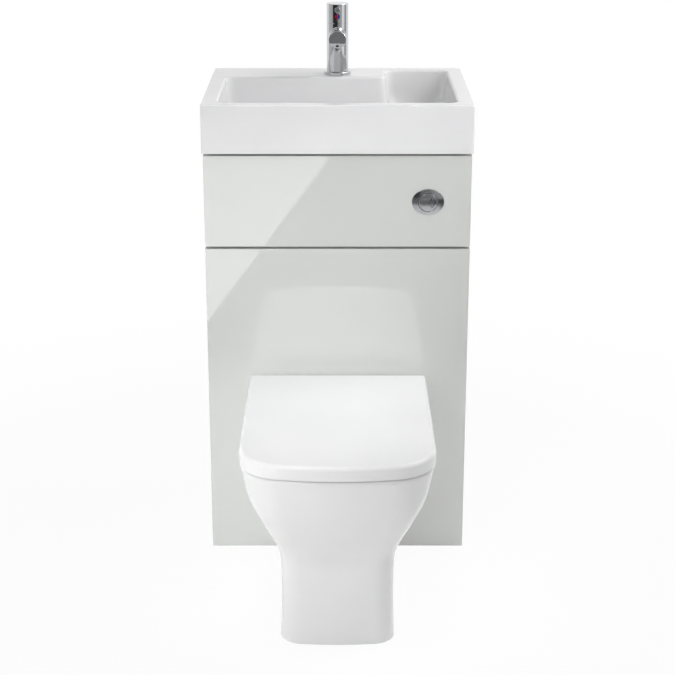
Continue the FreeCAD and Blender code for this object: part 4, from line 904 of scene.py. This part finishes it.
@dataclass(frozen=True)
class GreyWall:
    """A curved grey wall in front of the object that only glossy surfaces show.

    Its tones are pairs of a direction, in degrees to the right of straight ahead, and a level.
    """

    radius: float = 4.2
    height: float = 3.2
    step_deg: float = 2.0
    tones: tuple[tuple[float, float], ...] = (
        (-116, 0.9), (-100, 0.6), (-60, 0.5), (-48, 0.03), (-10, 0.03), (-6, 0.2), (8, 0.24), (16, 0.42),
        (48, 0.5), (54, 1.0), (80, 1.0), (86, 0.4), (104, 0.45), (116, 0.9),
    )

    def level(self, turn_deg: float) -> float:
        """The wall's level in one direction.

        Args:
            turn_deg: Degrees to the right of straight ahead.

        Returns:
            The level between the two nearest tones.
        """
        for (first, low), (second, high) in zip(self.tones, self.tones[1:]):
            if turn_deg <= second:
                return low + (high - low) * (turn_deg - first) / (second - first)
        return self.tones[-1][1]


@dataclass
class Studio:
    """White floor and surround, soft lamps, grey cards and wall, and the camera.

    Lengths are in metres where the name gives no unit.
    """

    ambient: float = 0.34
    sky_heights: tuple[float, float] = (0.15, 0.5)
    overhead: float = 0.6
    floor_colour: str = "#f6f6f6"
    floor_lift: float = 0.93
    floor_side: float = 24.0
    shadow_reach: tuple[float, float] = (0.7, 1.7)
    camera_y: float = -2.780
    camera_z: float = 1.4687
    tilt_deg: float = 17.75
    lens_mm: float = 84.42
    sensor_mm: float = 36.0
    shift_y: float = -0.09
    clip_end: float = 100.0
    lamps: tuple[Lamp, ...] = (
        Lamp("key_lamp", (-1.9, -2.3, 2.5), (0, 0, 0.5), (2.0, 2.0), 3.7),
        Lamp("side_lamp", (-1.5, -1.0, 0.65), (0, 0, 0.4), (1.0, 1.2), 8.1, mirrored=False),
        Lamp("fill_lamp", (2.2, -1.9, 1.1), (0, 0, 0.4), (1.4, 1.6), 6.0, mirrored=False),
        Lamp("right_lamp", (1.8, 0.6, 2.6), (0, 0.1, 0.7), (1.4, 1.4), 28),
        Lamp("basin_lamp", (1.2, -0.45, 1.75), (-0.05, 0.2, 0.87), (0.5, 0.5), 0.55, spread_deg=50),
        Lamp(
            "apron_lamp", (1.5, -1.8, 1.3), (0.2, 0.05, 0.87), (0.3, 0.3), 0.068,
            spread_deg=14, mirrored=False,
        ),
        Lamp("lid_lamp", (-0.25, -0.75, 2.6), (-0.03, -0.2, 0.39), (0.5, 0.5), 0.33, spread_deg=24),
        Lamp(
            "panel_lamp", (0.0, -2.2, 1.05), (0.0, 0.054, 0.37), (0.34, 0.04), 0.021,
            spread_deg=5, mirrored=False,
        ),
        Lamp("pan_lamp", (-1.3, -1.7, 0.35), (0, -0.3, 0.2), (0.5, 0.4), 0.11, spread_deg=28),
        Lamp("hinge_lamp", (-0.9, -2.3, 2.0), (-0.05, -0.12, 0.39), (0.6, 0.6), 0.4, spread_deg=30),
        Lamp("rear_lamp", (2.0, 2.1, 1.7), (0, 0.2, 0.5), (1.6, 1.6), 8, mirrored=False),
        Lamp("back_left_lamp", (-2.0, 2.1, 1.5), (0, 0.3, 0.5), (1.6, 1.6), 8, mirrored=False),
        Lamp(
            "floor_lamp", (-0.882, -2.381, 0.01), (-0.882, -2.381, 1.0), (1.4, 2.8), 14.6,
            roll_deg=9.5, spares=BUTTON_PIECES,
        ),
        Lamp("button_lamp", (-0.1, -1.15, 0.012), (-0.1, -1.15, 1.0), (1.9, 1.4), 5.0, only=BUTTON_PIECES),
    )
    cards: tuple[Card, ...] = (
        Card("floor_card", (-1.7, 2.4), (-3.9, 0.05), 0.004, 0.15, fade=(-1.15, -0.5)),
        Card("dark_card", (0.72, 2.4), (-4.0, -2.0), 0.006, 0.03),
    )
    wall: GreyWall = GreyWall()

    def build(self) -> None:
        """Make the surround, the floor, the lamps, the cards, the wall and the camera."""
        self.surround()
        self.floor()
        for lamp in self.lamps:
            self.hang(lamp)
        for card in self.cards:
            self.lay(card)
        self.raise_wall(self.wall)
        self.camera()

    def seen(self, tree: Tree) -> Socket:
        """One where the camera, a mirror or glass looks, nought where light is gathered.

        Args:
            tree: The tree that asks.

        Returns:
            The socket with the answer.
        """
        path = add_node(tree, "ShaderNodeLightPath").outputs
        eye = add_node(tree, "ShaderNodeMath", {
            0: path["Is Camera Ray"], 1: path["Is Glossy Ray"],
        }, operation="MAXIMUM")
        glass = {0: eye.outputs[0], 1: path["Is Transmission Ray"]}
        return add_node(tree, "ShaderNodeMath", glass, operation="MAXIMUM").outputs[0]

    def surround(self) -> None:
        """A surround that lights at a plain level, white to the eye and greyer overhead in a mirror."""
        world = bpy.data.worlds.new("studio_surround")
        world.use_nodes = True
        tree = world.node_tree
        tree.nodes.clear()
        way = add_node(tree, "ShaderNodeTexCoord").outputs["Generated"]
        height = add_node(tree, "ShaderNodeSeparateXYZ", {"Vector": way}).outputs["Z"]
        low, high = self.sky_heights
        sky_level = add_node(tree, "ShaderNodeMapRange", {
            "Value": height, "From Min": low, "From Max": high, "To Min": 1.0, "To Max": self.overhead,
        })
        eye = add_node(tree, "ShaderNodeLightPath").outputs["Is Camera Ray"]
        shown = add_node(tree, "ShaderNodeMath", {
            0: sky_level.outputs["Result"], 1: eye,
        }, operation="MAXIMUM")
        level = add_node(tree, "ShaderNodeMapRange", {
            "Value": self.seen(tree), "To Min": self.ambient, "To Max": shown.outputs[0],
        })
        sky = add_node(tree, "ShaderNodeBackground", {"Color": WHITE, "Strength": level.outputs["Result"]})
        add_node(tree, "ShaderNodeOutputWorld", {"Surface": sky.outputs[0]})
        bpy.context.scene.world = world

    def sheet(
        self, name: str, corners: Sequence[Sequence[float]],
        faces: Sequence[Sequence[int]] = ((0, 1, 2, 3),),
    ) -> tuple[bpy.types.Object, Tree]:
        """Lay a sheet of the stage, with an empty material.

        Args:
            name: The name of the sheet and of its material.
            corners: Its corners.
            faces: The corners of each face, in order.

        Returns:
            The object and its material's tree.
        """
        mesh = bpy.data.meshes.new(name)
        mesh.from_pydata(corners, [], faces)
        made = bpy.data.materials.new(name)
        made.use_nodes = True
        made.node_tree.nodes.clear()
        mesh.materials.append(made)
        sheet = bpy.data.objects.new(name, mesh)
        bpy.context.collection.objects.link(sheet)
        return sheet, made.node_tree

    def floor(self) -> None:
        """A pale floor that stays white to the eye and keeps the object's shadow."""
        half = self.floor_side / 2
        corners = [(-half, -half, 0), (half, -half, 0), (half, half, 0), (-half, half, 0)]
        tree = self.sheet("studio_floor", corners)[1]
        matt = add_node(tree, "ShaderNodeBsdfDiffuse", {"Color": linear(self.floor_colour)})
        glow = add_node(tree, "ShaderNodeEmission", {"Color": WHITE, "Strength": 1.0})
        place = add_node(tree, "ShaderNodeTexCoord").outputs["Object"]
        away = add_node(tree, "ShaderNodeVectorMath", {0: place}, operation="LENGTH").outputs["Value"]
        near, far = self.shadow_reach
        lift = add_node(tree, "ShaderNodeMapRange", {
            "Value": away, "From Min": near, "From Max": far, "To Min": self.floor_lift, "To Max": 1.0,
        }, interpolation_type="SMOOTHSTEP").outputs["Result"]
        share = add_node(tree, "ShaderNodeMath", {0: self.seen(tree), 1: lift}, operation="MULTIPLY")
        mix = add_node(tree, "ShaderNodeMixShader", {
            0: share.outputs[0], 1: matt.outputs[0], 2: glow.outputs[0],
        })
        add_node(tree, "ShaderNodeOutputMaterial", {"Surface": mix.outputs[0]})

    def lay(self, card: Card) -> None:
        """Lay a grey card that gives gloss and chrome something darker to show.

        Args:
            card: The card.
        """
        sheet, tree = self.sheet(card.name, card.corners())
        tone = add_node(tree, "ShaderNodeEmission", {"Color": WHITE, "Strength": card.level})
        if card.fade:
            place = add_node(tree, "ShaderNodeTexCoord").outputs["Object"]
            depth = add_node(tree, "ShaderNodeSeparateXYZ", {"Vector": place}).outputs["Y"]
            grey, white = card.fade
            level = add_node(tree, "ShaderNodeMapRange", {
                "Value": depth, "From Min": grey, "From Max": white, "To Min": card.level, "To Max": 1.0,
            }, interpolation_type="SMOOTHSTEP").outputs["Result"]
            tree.links.new(level, tone.inputs["Strength"])
        add_node(tree, "ShaderNodeOutputMaterial", {"Surface": tone.outputs[0]})
        self.hide_from_light(sheet)

    def raise_wall(self, wall: GreyWall) -> None:
        """Put up the curved wall, each of its columns at its own level.

        Args:
            wall: The wall.
        """
        first, last = wall.tones[0][0], wall.tones[-1][0]
        count = round((last - first) / wall.step_deg) + 1
        turns = [first + wall.step_deg * i for i in range(count)]
        ways = [(math.sin(math.radians(turn)), -math.cos(math.radians(turn))) for turn in turns]
        corners = [(wall.radius * x, wall.radius * y, z) for z in (0.0, wall.height) for x, y in ways]
        faces = [(i, i + 1, count + i + 1, count + i) for i in range(count - 1)]
        sheet, tree = self.sheet("grey_wall", corners, faces)
        levels = sheet.data.attributes.new("level", "FLOAT", "POINT")
        levels.data.foreach_set("value", [wall.level(turn) for turn in turns] * 2)
        level = add_node(tree, "ShaderNodeAttribute", attribute_name="level").outputs["Fac"]
        tone = add_node(tree, "ShaderNodeEmission", {"Color": WHITE, "Strength": level})
        add_node(tree, "ShaderNodeOutputMaterial", {"Surface": tone.outputs[0]})
        self.hide_from_light(sheet)

    def hide_from_light(self, sheet: bpy.types.Object) -> None:
        """Leave a sheet to glossy surfaces alone.

        Args:
            sheet: The sheet.
        """
        sheet.visible_camera = False
        sheet.visible_diffuse = False
        sheet.visible_shadow = False
        sheet.visible_transmission = False

    def hang(self, lamp: Lamp) -> None:
        """Add a lamp.

        Args:
            lamp: The lamp.
        """
        data = bpy.data.lights.new(lamp.name, "AREA")
        data.shape = "RECTANGLE"
        data.size, data.size_y = lamp.size
        data.energy = lamp.watts
        data.spread = math.radians(lamp.spread_deg)
        made = bpy.data.objects.new(lamp.name, data)
        made.location = lamp.place
        way = Vector(lamp.target) - Vector(lamp.place)
        roll = Matrix.Rotation(math.radians(lamp.roll_deg), 4, "Z")
        made.rotation_euler = (roll @ way.to_track_quat("-Z", "Y").to_matrix().to_4x4()).to_euler()
        made.visible_camera = False
        made.visible_glossy = lamp.mirrored
        bpy.context.collection.objects.link(made)
        if lamp.only or lamp.spares:
            named = bpy.data.collections.new(lamp.name)
            for node in lamp.only or lamp.spares:
                named.objects.link(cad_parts[node])
            for member in named.collection_objects:
                member.light_linking.link_state = "INCLUDE" if lamp.only else "EXCLUDE"
            made.light_linking.receiver_collection = named

    def camera(self) -> None:
        """The photograph's viewpoint, a little above the object and square to its front."""
        data = bpy.data.cameras.new("front_camera")
        data.sensor_width = self.sensor_mm
        data.lens = self.lens_mm
        data.shift_y = self.shift_y
        data.clip_end = self.clip_end
        camera = bpy.data.objects.new("front_camera", data)
        camera.location = (0, self.camera_y, self.camera_z)
        camera.rotation_euler = (math.radians(90 - self.tilt_deg), 0, 0)
        bpy.context.collection.objects.link(camera)
        bpy.context.scene.camera = camera


def write_sizes() -> None:
    """Update the view layer, so that every placement is current."""
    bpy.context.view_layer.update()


def main() -> None:
    """Build every sub-assembly in order, then the studio."""
    logging.basicConfig(level=logging.INFO, format="%(message)s")
    bpy.context.scene.view_settings.view_transform = "Standard"
    for group in (Carcass(), BasinTop(), MixerTap(), FlushButton(), CisternGear(), Pan(), SeatAndLid()):
        group.build()
        group.dress()
    Studio().build()
    write_sizes()


if __name__ == "__main__":
    main()
